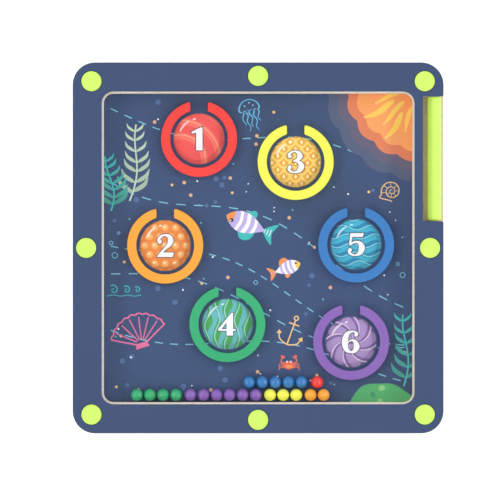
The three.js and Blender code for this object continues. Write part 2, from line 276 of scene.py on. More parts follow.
def fill(loops):
    """Triangles of the area inside the first loop and outside the others."""
    flat, faces = triangulate(loops)
    middle = flat[faces].mean(1)
    inside = covers(loops[:1], middle)
    for hole in loops[1:]:
        inside &= ~covers([hole], middle)
    return flat, faces[inside]


def rounded_path(corners, radii):
    """A polygon with an arc at each corner, as points and the unit normals on its right hand.

    An arc's centre stands inside the corner by the radius along both normals, and its points are that
    centre plus or minus the radius times a normal that turns from one side's to the next one's.
    """
    corners = np.asarray(corners, float)
    radii = np.broadcast_to(np.asarray(radii, float), len(corners))
    side = side_ways(corners)
    after = np.roll(side, -1, axis=0)
    first, second = right_hand(side), right_hand(after)
    turn = np.arctan2(side[:, 0] * after[:, 1] - side[:, 1] * after[:, 0], (side * after).sum(1))
    reach = np.sign(turn) * radii
    centre = corners - (reach / (1 + (first * second).sum(1)))[:, None] * (first + second)
    start = np.arctan2(first[:, 1], first[:, 0])
    normal = ray(start[:, None] + turn[:, None] * np.linspace(0, 1, CORNER_POINTS))
    points = centre[:, None] + reach[:, None, None] * normal
    return points.reshape(-1, 2), normal.reshape(-1, 2)


def square_path(half, radius, hole=False):
    """A square with round corners, counter-clockwise, or clockwise as the edge of a hole."""
    corners = half * np.array([(-1, -1), (1, -1), (1, 1), (-1, 1)])
    return rounded_path(corners[::-1] if hole else corners, radius)


def board_path():
    """The board's outline with the pen's notch, counter-clockwise."""
    edge = BOARD_HALF
    floor = edge - NOTCH_WIDTH
    low = NOTCH_TOP - NOTCH_LENGTH
    corners = [(-edge, -edge), (edge, -edge), (edge, low), (floor, low),
               (floor, NOTCH_TOP), (edge, NOTCH_TOP), (edge, edge), (-edge, edge)]
    board, mouth, inner = BOARD_CORNER_RADIUS, NOTCH_MOUTH_RADIUS, NOTCH_CORNER_RADIUS
    return rounded_path(corners, [board, board, mouth, inner, inner, mouth, board, board])


def hole_path(x, y, radius, points):
    """A round hole's edge, clockwise, with normals that point at its middle."""
    normal = -ray(-turn_angles(points))
    return (x, y) - radius * normal, normal


def arc_path(arcs):
    """Arcs joined by straight lines: each is (x, y, radius, side, from angle, to angle, steps), and its
    points are the centre plus side times radius along a normal that turns between the angles. Where an
    arc starts at the end of the one before, the point is kept once."""
    points, normals = [], []
    for x, y, radius, side, low, high, steps in arcs:
        normal = ray(np.linspace(low, high, steps + 1))
        points.append((x, y) + side * radius * normal)
        normals.append(normal)
    points, normals = np.vstack(points), np.vstack(normals)
    apart = np.linalg.norm(points - np.roll(points, 1, axis=0), axis=1) > SAME_PLACE
    return points[apart], normals[apart]


def carry(path, profile):
    """A profile of (inset, height) rows carried along a path: each row is the path moved in against
    its normals by the inset, at the height."""
    points, normals = path
    inset, height = np.asarray(profile, float).T
    flat = points[None] - inset[:, None, None] * normals[None]
    level = np.broadcast_to(height[:, None, None], (*flat.shape[:2], 1))
    return np.concatenate((flat, level), axis=2)


def quarter_circle(radius, steps):
    """A rounded foot as (inset, height) rows: the radius times one less the sine and the cosine of an
    angle that opens from 0 to a quarter turn."""
    angle = np.linspace(0, np.pi / 2, steps + 1)
    return radius * (1 - np.stack((np.sin(angle), np.cos(angle)), axis=1))


def rounded_edge(low, high, low_round, high_round, steps=5):
    """A wall's profile between two heights: a quarter circle at each end, and a row close beside each
    so that the flats shade flat."""
    beside = 0.25
    bottom = quarter_circle(low_round, steps) + (0, low)
    top = quarter_circle(high_round, steps)[:, ::-1] * (1, -1) + (0, high)
    return np.vstack(((low_round + beside, low), bottom, (0, low + low_round + beside),
                      (0, high - high_round - beside), top, (high_round + beside, high)))


def plate_surface(path, profile):
    """A closed plate: a profile carried along its outline, with a flat face at each end."""
    surface = Surface()
    wall = carry(path, profile)
    surface.add_grid(wall)
    surface.add_level([wall[0]], wall[0, 0, 2], up=False)
    surface.add_level([wall[-1]], wall[-1, 0, 2])
    return surface


def turned_surface(profile, centre, points, axis="z"):
    """A closed piece turned round an axis, its profile being (radius, height) rows from the axis's lower
    end to its upper one: x and y are the radius times the cosine and sine of the angle, and for the
    axis along y they are x and z."""
    radius, height = np.asarray(profile, float).T
    angle = turn_angles(points)
    across = centre[0] + radius[:, None] * np.cos(angle)
    up = radius[:, None] * np.sin(angle)
    along = np.broadcast_to(height[:, None], across.shape)
    if axis == "z":
        grid = np.stack((across, centre[1] + up, along), axis=-1)
    else:
        grid = np.stack((across, along, centre[1] - up), axis=-1)
    surface = Surface()
    surface.add_grid(grid)
    surface.add_disc(grid[0], flip=True)
    surface.add_disc(grid[-1])
    return surface


def make_piece(name, surface, body, materials, stands_for):
    """A mesh object of a surface, welded, smooth but for its sharp edges, riding on its body."""
    points = np.vstack(surface.points)
    rounded = points.round(SAME_PLACE_DIGITS)
    _, first, where = np.unique(rounded, axis=0, return_index=True, return_inverse=True)
    where = where.ravel()
    faces = [where[face].tolist() for face in surface.faces]
    mesh = bpy.data.meshes.new(name)
    mesh.from_pydata((points[first] * MM).tolist(), [], faces)
    if mesh.validate():
        raise RuntimeError(f"The surface of {name} has a broken face")
    mesh.polygons.foreach_set("use_smooth", np.ones(len(mesh.polygons), bool))
    mesh.polygons.foreach_set("material_index", np.concatenate(surface.finishes).astype(np.int32))
    mesh.set_sharp_from_angle(angle=np.radians(SHARP_ANGLE))
    add_piece(name, mesh, body, materials, stands_for)


def add_piece(name, mesh, body, materials, stands_for):
    """An object of a mesh, riding on its body in place of the nodes it stands for."""
    for material in materials:
        mesh.materials.append(material)
    piece = bpy.data.objects.new(name, mesh)
    bpy.context.scene.collection.objects.link(piece)
    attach(piece, body)
    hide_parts(*stands_for)


def base_board_surface(sizes):
    """The plain board at the back."""
    seam = sizes.seam_round / MM
    return plate_surface(square_path(BOARD_HALF, BOARD_CORNER_RADIUS),
                         rounded_edge(BOARD_LOW[2], BASE_TOP, seam, seam, steps=3))


def wall_frame_surface(sizes):
    """The middle frame: its outline with the notch, the chamber's wall with the ledge and the rebate,
    eight blind screw holes, and the hole of the steel plug in the notch's end wall."""
    seam = sizes.seam_round / MM
    surface = Surface()
    profile = rounded_edge(BASE_TOP, FRONT_BOTTOM, seam, seam, steps=3)
    outer = carry(board_path(), profile)
    tall = int(np.argmax(np.diff(profile[:, 1])))
    surface.add_grid(outer, skip=(tall, NOTCH_END_WALL))
    ledge = COVER_LOW[2]
    bevel, round_over = 0.2, 0.3
    middle = ARC_MIDDLE * round_over
    inner = carry(square_path(CHAMBER_HALF, CHAMBER_CORNER_RADIUS, hole=True), [
        (bevel, BASE_TOP), (0, BASE_TOP + bevel), (0, ledge - 2 * round_over), (0, ledge - round_over),
        (middle, ledge - middle), (round_over, ledge), (2 * round_over, ledge),
        (REBATE_WIDTH, ledge), (REBATE_WIDTH, FRONT_BOTTOM - seam), (REBATE_WIDTH + seam, FRONT_BOTTOM)])
    surface.add_grid(inner)
    holes = []
    for name in CAPS:
        x, y, _ = cap_centre(name)
        edge = hole_path(x, y, SCREW_HOLE_RADIUS, SCREW_HOLE_POINTS)
        hole = carry(edge, [(0, SCREW_HOLE_END), (0, FRONT_BOTTOM)])
        surface.add_grid(hole)
        surface.add_disc(hole[0], flip=True)
        holes.append(hole[-1])
    surface.add_level([outer[-1], inner[-1], *holes], FRONT_BOTTOM)
    surface.add_level([outer[0], inner[0]], BASE_TOP, up=False)
    add_keeper_hole(surface, outer[tall:tall + 2, [NOTCH_END_WALL, NOTCH_END_WALL + 1]])
    return surface


def add_keeper_hole(surface, corners):
    """Fills a gap of four corners in the notch's end wall, round the hole of the steel plug."""
    radius = (KEEPER_HIGH[0] - KEEPER_LOW[0]) / 2 + KEEPER_CLEARANCE
    edge = (PEN_X, PEN_Z) + radius * ray(turn_angles(KEEPER_HOLE_POINTS))
    gap = corners[[0, 0, 1, 1], [0, 1, 1, 0]][:, [0, 2]]
    flat, triangles = fill([gap, edge])
    surface.add(flat_at(flat, NOTCH_TOP)[:, [0, 2, 1]], triangles)
    mouth, back = (flat_at(edge, y)[:, [0, 2, 1]] for y in (NOTCH_TOP, KEEPER_HIGH[1] + KEEPER_CLEARANCE))
    surface.add_grid(np.stack((mouth, back)))
    surface.add_disc(back)


def front_frame_surface(sizes):
    """The painted frame: rounded edges round its outline and window, and for each cap a recess with
    the screw's seat and hole under it. The walls of the window and the notch, which are cut into the
    painted board, are bare up to the rounded edge."""
    edge = sizes.edge_round / MM
    surface = Surface()
    profile = rounded_edge(FRONT_BOTTOM, FRONT_TOP, sizes.seam_round / MM, edge)
    outer = carry(board_path(), profile)
    window_path = square_path(CHAMBER_HALF + LEDGE_WIDTH, CHAMBER_CORNER_RADIUS + LEDGE_WIDTH, hole=True)
    window = carry(window_path, profile)
    slack = 0.01
    below_edge = profile[1:, None, 1] < FRONT_TOP - edge + slack
    column = np.arange(outer.shape[1])
    in_notch = (column >= NOTCH_START) & (column <= NOTCH_END_WALL)
    surface.add_grid(outer, finish=below_edge & in_notch)
    surface.add_grid(window, finish=below_edge)
    rim = 0.2
    middle = ARC_MIDDLE * rim
    holes = []
    for name in CAPS:
        x, y, radius = cap_centre(name)
        recess = radius + CAP_CLEARANCE
        floor = node_box(name)[0][2]
        steps = np.array([
            (SCREW_HOLE_RADIUS, FRONT_BOTTOM), (SCREW_HOLE_RADIUS, SCREW_SEAT),
            (CAP_POCKET_RADIUS, SCREW_SEAT), (CAP_POCKET_RADIUS, floor), (recess, floor),
            (recess, FRONT_TOP - 2 * rim), (recess, FRONT_TOP - rim),
            (recess + middle, FRONT_TOP - middle), (recess + rim, FRONT_TOP),
            (recess + 2 * rim, FRONT_TOP)])
        hole = carry(hole_path(x, y, recess, CAP_POINTS), steps - (recess, 0))
        surface.add_grid(hole)
        holes.append(hole)
    surface.add_level([outer[-1], window[-1], *(hole[-1] for hole in holes)], FRONT_TOP)
    surface.add_level([outer[0], window[0], *(hole[0] for hole in holes)], FRONT_BOTTOM, up=False)
    return surface


def clear_cover_surface():
    """The cover, a hair above its ledge, with polished edges."""
    polish, hair = 0.15, 0.02
    under, over = COVER_LOW[2] + hair, COVER_HIGH[2]
    radius = CHAMBER_CORNER_RADIUS + REBATE_WIDTH - LET_IN_CLEARANCE
    return plate_surface(square_path(COVER_HIGH[0], radius),
                         [(polish, under), (0, under + polish), (0, over - polish), (polish, over)])


def ring_surface(colour, sizes):
    """An open ring: its outline is an outer arc and a bore, joined by the straight sides of the mouth,
    with a small arc at each of the four corners, under one profile with rounded edges."""
    x, y, outer = ring_centre(colour)
    bore = outer - RING_WALL
    corner = sizes.ring_corner_round / MM
    across = RING_MOUTH / 2 + corner
    outer_rise = np.sqrt((outer - corner) ** 2 - across ** 2)
    bore_rise = np.sqrt((bore + corner) ** 2 - across ** 2)
    outer_angle = np.arctan2(outer_rise, across)
    bore_angle = np.arctan2(bore_rise, across)
    outer_steps, bore_steps, corner_steps = 140, 110, 7
    path = arc_path([
        (x, y, outer, 1, np.pi - outer_angle, FULL_TURN + outer_angle, outer_steps),
        (x + across, y + outer_rise, corner, 1, outer_angle, np.pi, corner_steps),
        (x + across, y + bore_rise, corner, 1, np.pi, np.pi + bore_angle, corner_steps),
        (x, y, bore, -1, np.pi + bore_angle, -bore_angle, bore_steps),
        (x - across, y + bore_rise, corner, 1, -bore_angle, 0, corner_steps),
        (x - across, y + outer_rise, corner, 1, 0, np.pi - outer_angle, corner_steps),
    ])
    low, high = node_box(f"ring_{colour}")
    foot_round, edge_round = 0.2, sizes.ring_edge_round / MM
    return plate_surface(path, rounded_edge(low[2], high[2], foot_round, edge_round, steps=4))


def bead_surface(name, sizes):
    """A sphere with a faint parting groove round its own tilted axis: the radius falls by a narrow bell
    curve of the latitude, and rises back to the sphere's. Its rows stand close in the groove and evenly
    from there to the tips."""
    low, high = node_box(name)
    centre = (low + high) / 2
    radius = centre[2] - low[2]
    chance = np.random.default_rng(int.from_bytes(name.encode(), "big") % 2 ** 32)
    axis = chance.normal(size=3)
    axis /= np.linalg.norm(axis)
    nearly_upright = 0.9
    first = np.cross(axis, (0, 0, 1) if abs(axis[2]) < nearly_upright else (1, 0, 0))
    first /= np.linalg.norm(first)
    second = np.cross(axis, first)
    groove, even_from, even_to = np.radians((1.2, 6, 84))
    north = np.append(groove * np.array([0.5, 1, 2]), np.linspace(even_from, even_to, 14))
    latitude = np.concatenate((-north[::-1], [0], north))
    reach = radius - sizes.bead_seam_depth / MM * np.exp(-(latitude / groove) ** 2)
    angle = turn_angles(BEAD_POINTS)[:, None]
    out = np.cos(angle) * first + np.sin(angle) * second
    rise = latitude[:, None, None]
    grid = centre + reach[:, None, None] * (np.cos(rise) * out + np.sin(rise) * axis)
    surface = Surface()
    surface.add_grid(grid)
    surface.add_fan(centre - radius * axis, grid[0], flip=True)
    surface.add_fan(centre + radius * axis, grid[-1])
    return surface


def cap_surface(name, sizes):
    """A shallow domed disc: its top falls from the middle by the square of the radius, and its edge is
    a quarter circle. Beneath, it is hollow where it clears the screw's head."""
    low, high = node_box(name)
    x, y, radius = cap_centre(name)
    radius -= sizes.cap_edge_gap / MM
    edge = sizes.cap_edge_round / MM
    dome = sizes.cap_dome / MM
    rim = (radius, high[2] - dome) - quarter_circle(edge, steps=6)[:, ::-1]
    inner = np.linspace(radius - edge, TURNED_MIDDLE, 9)[1:]
    crown = np.column_stack((inner, high[2] - dome * (inner / (radius - edge)) ** 2))
    roof = high[2] - CAP_POCKET_ROOF
    bevel = 0.15
    profile = np.vstack(((TURNED_MIDDLE, roof), (CAP_POCKET_RADIUS, roof), (CAP_POCKET_RADIUS, low[2]),
                         (radius - bevel, low[2]), (radius, low[2] + bevel), rim, crown))
    return turned_surface(profile, (x, y), CAP_POINTS)


def pen_surface(profile):
    """A piece of the pen, turned round its axis along y."""
    return turned_surface(profile, (PEN_X, PEN_Z), PEN_POINTS, axis="y")


def pen_barrel_surface(sizes):
    """A rod with a round tail, bored at the other end for the magnet."""
    seam = sizes.pen_seam / MM
    tail = PEN_LOW[1]
    tail_round = (PEN_RADIUS, tail) + quarter_circle(PEN_TAIL_RADIUS, steps=8) * (-1, 1)
    beside_tail, beside_mouth = 0.4, 0.5
    bore_end = PEN_MOUTH - MAGNET_BORE_DEPTH
    return pen_surface(np.vstack((
        (TURNED_MIDDLE, tail), tail_round, (PEN_RADIUS, tail + PEN_TAIL_RADIUS + beside_tail),
        (PEN_RADIUS, PEN_MOUTH - beside_mouth), (PEN_RADIUS, PEN_MOUTH - seam),
        (PEN_RADIUS - seam, PEN_MOUTH), (MAGNET_BORE_RADIUS, PEN_MOUTH),
        (MAGNET_BORE_RADIUS, bore_end), (TURNED_MIDDLE, bore_end))))


def pen_tip_surface(sizes):
    """The disc over the magnet, with a spigot into the bore and a chamfer round its end."""
    end = PEN_HIGH[1]
    foot = PEN_MOUTH - PEN_SPIGOT
    spigot = MAGNET_BORE_RADIUS - PEN_SPIGOT_CLEARANCE
    seam = sizes.pen_seam / MM
    chamfer = sizes.pen_tip_chamfer / MM
    return pen_surface([
        (TURNED_MIDDLE, foot), (spigot, foot), (spigot, PEN_MOUTH), (PEN_RADIUS - seam, PEN_MOUTH),
        (PEN_RADIUS, PEN_MOUTH + seam), (PEN_RADIUS, end - chamfer),
        (PEN_RADIUS - 0.35 * chamfer, end - 0.4 * chamfer), (PEN_RADIUS - chamfer, end),
        (TURNED_MIDDLE, end)])


# Print

class PrintedArt:
    """The inks of the sheet in the order they are laid: loops, a colour that may change along a line,
    and loops that the ink stays within."""

    def __init__(self):
        self.inks = []

    def lay(self, loops, colour, end_colour=None, along=((0, 0), (1, 0)), within=None):
        """An ink over the loops, which turns to the end colour from the start of its line to the end."""
        colours = np.array((colour, colour if end_colour is None else end_colour), float)
        self.inks.append((loops, colours, np.array(along, float), within))

    def loops(self):
        """Every loop that some ink's edge follows."""
        return [loop for loops, *_ in self.inks for loop in loops]

    def colour_corners(self, flat, faces, ground):
        """The colour of each corner of each triangle: that of the last ink laid over the triangle's
        middle, at the corner's own place along the ink's line."""
        corners = flat[faces]
        middle = corners.mean(1)
        colours = np.broadcast_to(np.asarray(ground, float), (len(faces), 3, 3)).copy()
        for loops, (first, second), (start, end), within in self.inks:
            inked = covers(loops, middle)
            if within is not None:
                inked &= covers(within, middle)
            way = end - start
            share = np.clip(((corners[inked] - start) @ way) / (way @ way), 0, 1)
            colours[inked] = first + share[..., None] * (second - first)
        return colours


def place(flat, x, y, size, turn=0.0):
    """Points scaled, turned and moved."""
    cosine, sine = np.cos(turn), np.sin(turn)
    spin = np.array(((cosine, sine), (-sine, cosine)))
    return np.asarray(flat, float) * size @ spin + (x, y)


def oval(x, y, width, height=None, turn=0.0, steps=36):
    """A closed oval: the half width times the cosine and the half height times the sine, turned."""
    return place(ray(turn_angles(steps)) * (width / 2, (height or width) / 2), x, y, 1, turn)


def hoop(x, y, width, line, steps):
    """The two edges of a round line."""
    return [oval(x, y, width, steps=steps), oval(x, y, width - line, steps=steps)[::-1]]


def polar(reach, angle):
    """Points at a distance and an angle from the middle."""
    return reach[:, None] * ray(angle)


def smooth_line(keys, steps=7):
    """A smooth line through key points: between two, the cubic whose slope at each is half the way
    from the key before it to the one after it."""
    keys = np.asarray(keys, float)
    around = np.vstack((2 * keys[0] - keys[1], keys, 2 * keys[-1] - keys[-2]))
    before, start, end, after = (around[shift:len(around) - 3 + shift, None] for shift in range(4))
    t = (np.arange(steps) / steps)[None, :, None]
    line = start + 0.5 * t * (end - before + t * (2 * before - 5 * start + 4 * end - after
                                                  + t * (3 * (start - end) + after - before)))
    return np.vstack((line.reshape(-1, keys.shape[1]), keys[-1]))


def brush(line, widths, grow=0.0):
    """The outline of a stroke: the line moved by half its width along its normals to both sides, with
    its ends carried on by what it grows."""
    line = np.array(line, float)
    way = np.gradient(line, axis=0)
    way /= np.linalg.norm(way, axis=1, keepdims=True)
    line[0] -= grow * way[0]
    line[-1] += grow * way[-1]
    reach = (np.broadcast_to(np.asarray(widths, float), len(line)) / 2 + grow)[:, None]
    across = reach * right_hand(way)
    return np.vstack((line + across, (line - across)[::-1]))


def mitred(corners, grow):
    """A convex polygon, counter-clockwise, grown: each corner moves out along the sum of its two
    sides' normals."""
    corners = np.asarray(corners, float)
    normal = right_hand(side_ways(corners))
    after = np.roll(normal, -1, axis=0)
    return corners + grow * (normal + after) / (1 + (normal * after).sum(1, keepdims=True))


# The numerals, one unit tall, each with the x of its middle: slabs by their corners, brush strokes by
# keys of x, y and width, and round ends by their middle and width.
NUMERALS = {
    "red": {
        "middle": 0.33,
        "slabs": [[(0.2, 0), (0.48, 0), (0.48, 1), (0.4, 1), (0.2, 0.9)],
                  [(0, 0.73), (0.22, 0.77), (0.42, 1), (0.29, 0.955), (0, 0.81)]],
        "strokes": [],
        "ends": []},
    "orange": {
        "middle": 0.38,
        "slabs": [[(0.03, 0), (0.72, 0), (0.75, 0.2), (0.26, 0.2), (0.03, 0.06)]],
        "strokes": [[(0.1, 0.6, 0.07), (0.095, 0.75, 0.13), (0.2, 0.9, 0.11), (0.37, 0.955, 0.09),
                     (0.54, 0.9, 0.17), (0.615, 0.73, 0.25), (0.55, 0.55, 0.2), (0.38, 0.37, 0.12),
                     (0.2, 0.18, 0.1), (0.11, 0.06, 0.1)]],
        "ends": [(0.14, 0.665, 0.19)]},
    "yellow": {
        "middle": 0.39,
        "slabs": [],
        "strokes": [[(0.1, 0.67, 0.07), (0.1, 0.82, 0.11), (0.22, 0.93, 0.09), (0.37, 0.96, 0.08),
                     (0.53, 0.88, 0.19), (0.57, 0.74, 0.24), (0.47, 0.6, 0.15), (0.29, 0.53, 0.07)],
                    [(0.29, 0.54, 0.07), (0.48, 0.52, 0.11), (0.61, 0.4, 0.22), (0.63, 0.27, 0.27),
                     (0.53, 0.12, 0.19), (0.36, 0.045, 0.08), (0.19, 0.08, 0.1), (0.09, 0.19, 0.13),
                     (0.11, 0.33, 0.06)]],
        "ends": [(0.135, 0.745, 0.17), (0.13, 0.27, 0.17)]},
    "green": {
        "middle": 0.4,
        "slabs": [[(0.36, 0), (0.65, 0), (0.65, 1), (0.57, 1), (0.36, 0.74)],
                  [(0, 0.22), (0.09, 0.22), (0.65, 0.93), (0.65, 1), (0.57, 1), (0, 0.3)],
                  [(0, 0.21), (0.76, 0.21), (0.76, 0.29), (0, 0.29)]],
        "strokes": [],
        "ends": []},
    "blue": {
        "middle": 0.39,
        "slabs": [[(0.15, 0.83), (0.68, 0.83), (0.73, 1), (0.13, 1)],
                  [(0.08, 0.46), (0.17, 0.5), (0.24, 0.9), (0.13, 1)]],
        "strokes": [[(0.125, 0.47, 0.06), (0.25, 0.58, 0.09), (0.43, 0.615, 0.1), (0.58, 0.53, 0.2),
                     (0.635, 0.34, 0.27), (0.55, 0.14, 0.2), (0.37, 0.045, 0.08), (0.18, 0.08, 0.1),
                     (0.085, 0.19, 0.13), (0.1, 0.3, 0.06)]],
        "ends": [(0.125, 0.265, 0.17)]},
    "purple": {
        "middle": 0.4,
        "slabs": [],
        "strokes": [[(0.66, 0.78, 0.06), (0.65, 0.88, 0.1), (0.53, 0.955, 0.08), (0.4, 0.955, 0.09),
                     (0.24, 0.86, 0.19), (0.15, 0.66, 0.26), (0.135, 0.4, 0.27), (0.2, 0.17, 0.2),
                     (0.38, 0.045, 0.08)],
                    [(0.38, 0.045, 0.08), (0.56, 0.12, 0.18), (0.64, 0.31, 0.26), (0.57, 0.51, 0.17),
                     (0.43, 0.58, 0.08), (0.3, 0.52, 0.05), (0.25, 0.44, 0.04)]],
        "ends": [(0.615, 0.815, 0.16)]},
}

# Inks, in screen values.
FIELD_INK = srgb(49, 74, 116)
DIM_FIELD_INK = srgb(46, 70, 108)
CURRENT_INK = srgb(126, 200, 222)
DEEP_INK = srgb(78, 108, 156)
SAGE_INK = srgb(160, 186, 160)
PALE_SAGE_INK = srgb(196, 214, 190)
WEED_INK = srgb(66, 150, 132)
TEAL_INK = srgb(58, 190, 186)
SKETCH_BLUE_INK = srgb(104, 190, 234)
PINK_INK = srgb(226, 112, 160)
LAVENDER_INK = srgb(196, 180, 232)
WHITE_INK = srgb(252, 251, 254)
NUMERAL_EDGE_INK = srgb(54, 46, 60)
ORANGE_INK = srgb(248, 150, 82)
DARK_ORANGE_INK = srgb(220, 116, 78)
YELLOW_INK = srgb(255, 206, 88)
TAN_INK = srgb(228, 180, 140)
CREAM_INK = srgb(246, 200, 128)
RED_INK = srgb(244, 98, 82)
MOSS_INK = srgb(82, 176, 108)
PALE_MOSS_INK = srgb(140, 206, 130)
DARK_MOSS_INK = srgb(58, 148, 96)
BARE_CARD = srgb(238, 236, 230)
DISC_INKS = {
    "red": (srgb(246, 90, 88), srgb(255, 120, 104), srgb(255, 180, 142)),
    "orange": (srgb(240, 142, 68), srgb(255, 182, 100), srgb(255, 232, 184)),
    "yellow": (srgb(244, 172, 62), srgb(255, 218, 116), srgb(255, 246, 196)),
    "green": (srgb(74, 170, 88), srgb(106, 190, 198), srgb(160, 222, 224)),
    "blue": (srgb(38, 140, 182), srgb(64, 186, 212), srgb(136, 224, 236)),
    "purple": (srgb(130, 100, 164), srgb(176, 148, 202), srgb(228, 206, 232)),
}


class Motif:
    """Lays shapes of about one unit on the sheet, all in one place, size and turn."""

    def __init__(self, art, x, y, size, turn=0.0):
        self.art, self.where = art, (x, y, size, turn)

    def shape(self, flat):
        return place(flat, *self.where)

    def lay(self, shapes, ink, within=None):
        within = within and [self.shape(flat) for flat in within]
        self.art.lay([self.shape(flat) for flat in shapes], ink, within=within)

    def stroke(self, line, widths, ink, within=None):
        self.lay([brush(line, widths)], ink, within)

    def spot(self, ink, *size, steps=36, within=None):
        self.lay([oval(*size, steps=steps)], ink, within)


def lay_field(art):
    """Large soft-edged clouds of a dimmer blue: ovals in steps between the two blues, each smaller."""
    steps, shrink_by = 4, 0.12
    clouds = ((60, 30, 120, 70, -0.6), (-20, 118, 130, 60, 0.1), (112, -104, 110, 84, 0.8))
    for x, y, width, height, turn in clouds:
        for step in range(steps):
            share = (step + 1) / steps
            ink = np.array(FIELD_INK) + share * (np.array(DIM_FIELD_INK) - FIELD_INK)
            shrink = 1 - shrink_by * step
            art.lay([oval(x, y, width * shrink, height * shrink, turn, 72)], ink)


def lay_currents(art):
    """Dashed lines that sway over the sheet: their height is a slope plus a sine of x, and each dash
    takes a share of the line's length."""
    left, edge, wave = -123, 122, 34
    indent, pitch, width = 4, 1.9, 0.85
    x = np.linspace(left, -left, 700)
    for start, slope, sway, phase, dash in (
            (112, -0.2, 9, 0.2, 6.5), (66, -0.42, 13, 1.4, 7.5), (14, -0.36, 12, 2.3, 6),
            (-16, -0.28, 10, 3.1, 7.5), (-62, -0.16, 8, 0.9, 6.5)):
        y = start + slope * (x - left) + sway * np.sin(x / wave + phase)
        length = np.append(0, np.cumsum(np.hypot(np.diff(x), np.diff(y))))
        for dash_start in np.arange(indent, length[-1] - dash, pitch * dash):
            at = np.linspace(dash_start, dash_start + dash, 6)
            line = np.column_stack((np.interp(at, length, x), np.interp(at, length, y)))
            if np.abs(line).max() < edge:
                art.lay([brush(line, width)], CURRENT_INK)


def lay_coral(art):
    """A large fan of coral out of the top right corner: rings of round lobes, the distance from the
    corner swelling with the angle's sine, and brush strokes along its ribs."""
    corner = np.array((131.0, 131.0))
    angle = np.linspace(np.pi * 0.97, np.pi * 1.53, 150)
    swell = 3.2 * np.abs(np.sin(angle * 8.5 + 0.4))
    for reach, ink, end_ink in (
            (74, srgb(84, 88, 118), srgb(80, 92, 122)), (66, srgb(112, 92, 112), srgb(98, 92, 118)),
            (58, DARK_ORANGE_INK, srgb(230, 130, 88)), (50, ORANGE_INK, srgb(252, 166, 96))):
        loop = np.clip(np.vstack((corner + polar(reach + swell, angle), corner)), -140, corner)
        art.lay([loop], ink, end_ink, (corner, corner - reach * 0.7))
    taper = np.array((0.5, 1, 1, 0.8, 0.25))
    for half_turns, low, high, width in (
            (1.03, 20, 44, 4.5), (1.11, 16, 38, 3.2), (1.17, 24, 51, 4.8), (1.25, 18, 42, 3.8),
            (1.32, 26, 50, 4.6), (1.39, 18, 38, 3.4), (1.46, 22, 45, 4.4)):
        keys = np.linspace(low, high, len(taper))
        line = corner + polar(keys, half_turns * np.pi + 0.03 * np.sin(keys / 5))
        rib = smooth_line(np.column_stack((line, width * taper)))
        art.lay([brush(rib[:, :2], rib[:, 2])], YELLOW_INK)
        art.lay([oval(*line[-1], 2.2, steps=16)], CREAM_INK)


def lay_kelp(art, x, y, height, lean, ink, end_ink, pairs=7):
    """A frond: a swaying stem and a pair of leaves at each of its knots, a leaf being a stroke whose
    width swells in its middle."""
    stem = smooth_line([(x + lean * share + 3 * np.sin(5 * share), y + height * share)
                        for share in np.linspace(0, 1, 7)])
    along = ((x, y), (x + lean, y + height))
    half_leaf = np.array(((0, 0, 0.6), (0.35, 0.2, 2.4), (0.75, 0.5, 2.2), (0.95, 0.95, 0.3)))
    for share in np.linspace(0.12, 0.92, pairs):
        root = stem[int(share * (len(stem) - 1))]
        size = 12 * (1.15 - 0.6 * share)
        for side in (-1, 1):
            leaf = smooth_line(half_leaf * (side, 1, 1))
            art.lay([brush(root + size * leaf[:, :2], leaf[:, 2] * size / 9)], ink, end_ink, along)
    art.lay([brush(stem, 1.3)], end_ink)


def lay_fish(motif, body_ink, stripe_ink, fin_ink, cheek_ink):
    """A fish from a lens of two arcs, a forked tail, a fin above and one below, three stripes, a cheek
    and an eye."""
    t = np.linspace(0, 1, 24)
    upper = np.column_stack((1 - 2 * t, 0.5 * np.sin(np.pi * t ** 0.8)))
    body = np.vstack((upper, upper[::-1][1:-1] * (1, -1)))
    tail = [(-0.85, 0), (-1.15, 0.3), (-1.5, 0.5), (-1.34, 0.0), (-1.5, -0.5), (-1.15, -0.3), (-0.85, 0)]
    fin = [(0.3, 0.38), (0.0, 0.78), (-0.42, 0.68), (-0.5, 0.25), (0.3, 0.38)]
    belly = [(0.2, -0.36), (-0.15, -0.7), (-0.36, -0.62), (-0.3, -0.36), (0.2, -0.36)]
    motif.lay([smooth_line(keys, 5)[:-1] for keys in (tail, fin, belly)], fin_ink)
    for x in (-0.98, -1.12, -1.26):
        motif.stroke([(x, -0.1 + 0.3 * (x + 1)), (x, 0), (x, 0.1 - 0.3 * (x + 1))], 0.03, stripe_ink)
    motif.lay([body], body_ink)
    motif.spot(cheek_ink, 1.05, -0.1, 0.9, steps=32, within=[body])
    for middle, width in ((0.3, 0.15), (-0.06, 0.19), (-0.43, 0.15)):
        stripe = smooth_line([(middle + 0.08, 0.6), (middle - 0.05, 0), (middle + 0.08, -0.6)])
        motif.stroke(stripe, width, stripe_ink, within=[body])
    motif.spot(NUMERAL_EDGE_INK, 0.68, 0.12, 0.19, steps=18)
    motif.spot(WHITE_INK, 0.71, 0.15, 0.07, steps=12)


def lay_shell(motif, ink):
    """A scallop drawn in line: a scalloped edge, ribs that fan out from the hinge, and the hinge."""
    angle = np.linspace(np.radians(25), np.radians(155), 85)
    edge = polar(1 + 0.05 * np.abs(np.sin(angle * 12.5)), angle)
    outline = np.vstack((edge, (-0.16, 0.02), (0.16, 0.02), edge[0]))
    width, stretch = 0.05, 6
    for low in range(0, len(outline) - 1, stretch):
        motif.stroke(outline[low:low + stretch + 1], width, ink)
    for rib in np.radians(np.linspace(40, 140, 6)):
        motif.stroke(polar(np.linspace(0.18, 0.93, 6), rib), width * 0.8, ink)
    motif.lay([[(-0.24, -0.12), (0.24, -0.12), (0.18, 0.05), (-0.18, 0.05)]], ink)


